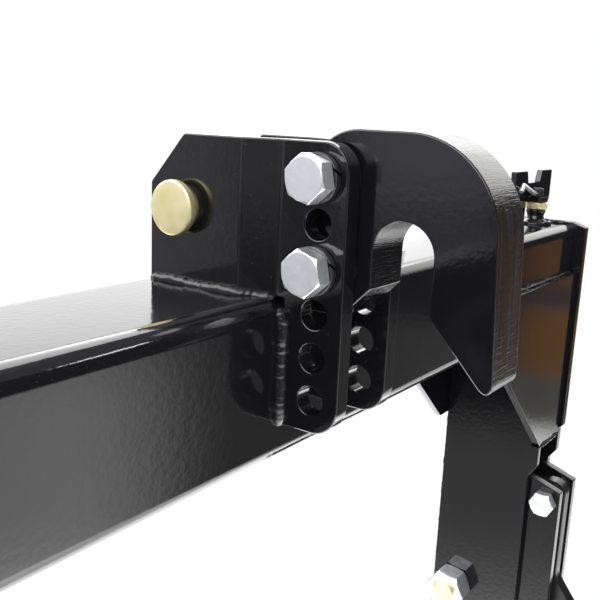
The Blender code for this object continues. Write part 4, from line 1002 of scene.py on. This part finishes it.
# ---- Legs ----
# At each end of the bar two cheeks and a web behind them make a channel, with a tapered gusset in
# front and another behind. All are cut plate, welded along their edges.
LEG_EDGE = 0.0008
GUSSET_BEAD = 0.0019
REAR_GUSSET_BEAD = 0.0026
UNDER_BAR_BEAD = 0.0028
END_CAP_BEAD = 0.0022
GUSSET_TIP_BEAD = 0.0016
WEB_BEAD = 0.0021
LEG_PLATES = ("front_gusset", "rear_gusset", "inner_cheek", "outer_cheek", "back_web")


def near_and_far(node, side):
    """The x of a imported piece's two sides, first the one nearer the middle of the hitch."""
    low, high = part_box(node)
    return (low[0], high[0]) if side > 0 else (high[0], low[0])


for side_name, side in SIDES:
    for node in LEG_PLATES:
        dress(side_name + "_" + node, LEG_EDGE, gloss_black)
    gusset_low, gusset_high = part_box(side_name + "_front_gusset")
    rear_low, rear_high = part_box(side_name + "_rear_gusset")
    cheek_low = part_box(side_name + "_inner_cheek")[0]
    near_x, far_x = near_and_far(side_name + "_front_gusset", side)
    near_x, far_x = near_x + side * 0.004, far_x - side * 0.003
    cheek_x = near_and_far(side_name + "_inner_cheek", side)[0]
    end_x = near_and_far(side_name + "_outer_cheek", side)[0]
    web_near, web_far = near_and_far(side_name + "_back_web", side)
    gusset_y, gusset_z = BAR_FRONT - 0.001, gusset_high[2] + 0.0002
    rear_y, rear_z = BAR_REAR + 0.001, rear_high[2] + 0.0006
    under_x, under_z = cheek_x - side * 0.0006, BAR_UNDER - 0.0006
    cap_x, cap_z = end_x - side * 0.0008, BAR_TOP + 0.0002
    tip_y, tip_z = cheek_low[1] + 0.0002, gusset_low[2] - 0.0004
    web_y, web_top, web_foot = BAR_REAR + 0.0002, rear_low[2] - 0.002, cheek_low[2] + 0.004
    beads = [lay_bead((start, end), radius) for start, end, radius in (
        ((near_x, gusset_y, gusset_z), (far_x, gusset_y, gusset_z), GUSSET_BEAD),
        ((near_x, rear_y, rear_z), (far_x, rear_y, rear_z), REAR_GUSSET_BEAD),
        ((under_x, BAR_FRONT + 0.006, under_z), (under_x, BAR_REAR - 0.006, under_z),
         UNDER_BAR_BEAD),
        ((cap_x, BAR_FRONT + 0.008, cap_z), (cap_x, BAR_REAR - 0.008, cap_z), END_CAP_BEAD),
        ((cheek_x + side * 0.005, tip_y, tip_z), (end_x - side * 0.006, tip_y, tip_z),
         GUSSET_TIP_BEAD),
        ((web_near, web_y, web_top), (web_near, web_y, web_foot), WEB_BEAD),
        ((web_far, web_y, web_top), (web_far, web_y, web_foot), WEB_BEAD),
    )]
    welds = join(side_name + "_leg_welds", beads)
    hang(welds, weld_black, smooth=180)


# ---- Lower hooks and latches ----
# Two hook plates in each leg hold the implement's pin, and a lever with a nose locks it from above.
# The lever turns on a plated bolt between two spacers.
PIVOT_Y = -0.094
PIVOT_Z = -0.197
SATIN_BLACK = (0.014, 0.014, 0.015, 1.0)
HOOK_PLATE_EDGE = 0.0006
LATCH_EDGE = 0.0008

satin_black = coat_paint("satin_black_coat", SATIN_BLACK, smooth=0.28, dull=0.42,
                         peel_depth=0.14, dust=0.4)
for side_name, side in SIDES:
    for node in ("inner_hook_plate", "outer_hook_plate"):
        dress(side_name + "_" + node, HOOK_PLATE_EDGE, flame_cut_black)
    dress(side_name + "_latch", LATCH_EDGE, satin_black, side_name + "_latch")
    hex_bolt(side_name + "_latch_pivot_bolt", PIVOT_Y, PIVOT_Z, 0, -side)
    hex_nut(side_name + "_latch_pivot_nut", BOLT_HEX, PIVOT_Y, PIVOT_Z, 11, BOLT_RADIUS)
    for node in ("inner_latch_spacer", "outer_latch_spacer"):
        flat_washer(side_name + "_" + node, PIVOT_Y, PIVOT_Z)


# ---- Pull rods, springs and handles ----
# Each latch hangs from a rod that a spring pushes down. The rod rises through a flared guide on
# the bar to a fish-tail handle with a jam nut and a spring clip.
ROD_X = 0.37215
ROD_Y = -0.052
ROD_RADIUS = 0.005
ROD_EDGE = 0.0002
CROSS_PIN_EDGE = 0.0003
SPRING_COIL = 0.0095
SPRING_WIRE = 0.0024
SPRING_TURNS = 7
SPRING_STEPS = 26
SPRING_CLOSED_PITCH = 1.05 * SPRING_WIRE
GUIDE_FOOT = 0.0120
# The guide's outline: (radius, how far below its top).
GUIDE_FLARE = ((0.0075, 0), (0.00825, 0.0008), (0.0079, 0.0022), (0.0068, 0.0052), (0.0075, 0.0078))
GUIDE_BORE = ROD_RADIUS + 0.0003
GUIDE_SEAM = 0.0118
GUIDE_BEAD = 0.0021
HANDLE_EDGE = 0.0005
JAM_NUT_HEX = 0.017

for side_name, side in SIDES:
    body = side_name + "_handle"
    dress(side_name + "_pull_rod", ROD_EDGE, satin_black, body)
    dress(side_name + "_rod_cross_pin", CROSS_PIN_EDGE, bright_zinc, body)

    spring_low, spring_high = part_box(side_name + "_return_spring")
    bottom = spring_low[2] + SPRING_WIRE / 2
    top = spring_high[2] - SPRING_WIRE / 2
    knots = []
    for index in range(SPRING_TURNS * SPRING_STEPS + 1):
        turns = index / SPRING_STEPS
        live = min(max(turns - 1, 0), SPRING_TURNS - 2) / (SPRING_TURNS - 2)
        closed = min(turns, 1) + max(turns - SPRING_TURNS + 1, 0)
        live_height = top - bottom - 2 * SPRING_CLOSED_PITCH
        angle = 2 * math.pi * turns * side
        knots.append(((side * ROD_X + SPRING_COIL * math.cos(angle),
                       ROD_Y + SPRING_COIL * math.sin(angle),
                       bottom + closed * SPRING_CLOSED_PITCH + live * live_height), 1))
    spring = round_wire(side_name + "_return_spring_finished", knots, SPRING_WIRE / 2, 3)
    hang(spring, spring_steel, replaces=(side_name + "_return_spring",), smooth=60)
    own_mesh(spring)

    guide_low, guide_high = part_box(side_name + "_rod_guide")
    outline = [(GUIDE_BORE, guide_high[2])]
    outline += [(radius, guide_high[2] - below) for radius, below in GUIDE_FLARE]
    outline += [(GUIDE_FOOT, guide_low[2] + 0.0006), (GUIDE_FOOT, guide_low[2]),
                (GUIDE_BORE, guide_low[2])]
    guide = turn(side_name + "_rod_guide_finished", outline, (side * ROD_X, ROD_Y, 0), "Z",
                 edge=0.0003)
    hang(guide, gloss_black, replaces=(side_name + "_rod_guide",))
    seam = [(side * ROD_X + GUIDE_SEAM * math.cos(math.radians(angle)),
             ROD_Y + GUIDE_SEAM * math.sin(math.radians(angle)), BAR_TOP + 0.0005)
            for angle in range(0, 361, 15)]
    guide_weld = lay_bead(seam, GUIDE_BEAD)
    guide_weld.name = side_name + "_guide_weld"
    hang(guide_weld, weld_black, smooth=180)

    dress(side_name + "_pull_handle", HANDLE_EDGE, gloss_black, body)
    nut_low, nut_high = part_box(side_name + "_handle_jam_nut")
    nut = hexagon(side_name + "_handle_jam_nut_finished", JAM_NUT_HEX, nut_high[2] - nut_low[2],
                  (side * ROD_X, ROD_Y, (nut_low[2] + nut_high[2]) / 2), both=True,
                  bore=ROD_RADIUS + 0.0002, axis="Z")
    hang(nut, yellow_zinc, body, (side_name + "_handle_jam_nut",), smooth=25)
    dress(side_name + "_handle_clip", 0, bright_zinc, body, smooth=60)


# ---- Lower link pins ----
# Studs for the tractor's lower links: a forged collar outside the leg, a nut inside it, and a
# linchpin with a spring bow at the tip.
LINK_RADIUS = 0.0111
LINK_COLLAR = 0.017
LINK_COLLAR_THICK = 0.008
LINK_PIN_Y = -0.020
LINK_PIN_Z = -0.300
LINK_PITCH = 0.0025
LINK_NUT_HEX = 0.032
LINCH_HOLE = 0.0043
LINCHPIN_EDGE = 0.0002
THREAD_ENDS_X = 0.344

for side_name, side in SIDES:
    thread_end, tip = map(abs, near_and_far(side_name + "_lower_link_pin", side))
    collar_in = abs(near_and_far(side_name + "_outer_cheek", side)[1]) + 0.0003
    collar_out = collar_in + LINK_COLLAR_THICK
    core = LINK_RADIUS - THREAD_DEPTH * LINK_PITCH
    stud = turn("stud", [(radius, side * along) for radius, along in (
        (0, thread_end), (core - 0.001, thread_end), (core, thread_end + 0.001),
        (core, THREAD_ENDS_X - 0.001), (LINK_RADIUS, THREAD_ENDS_X), (LINK_RADIUS, collar_in),
        (LINK_COLLAR - 0.001, collar_in), (LINK_COLLAR, collar_in + 0.001),
        (LINK_COLLAR, collar_out - 0.0015), (LINK_COLLAR - 0.0015, collar_out),
        (LINK_RADIUS + 0.001, collar_out), (LINK_RADIUS, collar_out + 0.001),
        (LINK_RADIUS, tip - 0.002), (LINK_RADIUS - 0.002, tip), (0, tip))],
        (0, LINK_PIN_Y, LINK_PIN_Z), "X", 72, edge=0.0003)
    linch_low, linch_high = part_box(side_name + "_lower_linchpin")
    drill(stud, LINCH_HOLE, ((linch_low[0] + linch_high[0]) / 2, LINK_PIN_Y, LINK_PIN_Z),
          "Z", 32, 0.05)
    thread_start = (thread_end if side > 0 else -THREAD_ENDS_X) + 0.0005
    thread = roll_thread(LINK_RADIUS, LINK_PITCH, (thread_start, LINK_PIN_Y, LINK_PIN_Z),
                         THREAD_ENDS_X - thread_end - 0.001)
    stud = join(side_name + "_lower_link_pin_finished", [stud, thread])
    hang(stud, yellow_zinc, replaces=(side_name + "_lower_link_pin",))
    hex_nut(side_name + "_lower_link_pin_nut", LINK_NUT_HEX, LINK_PIN_Y, LINK_PIN_Z, 6, LINK_RADIUS)
    dress(side_name + "_lower_linchpin", LINCHPIN_EDGE, yellow_zinc, smooth=50)
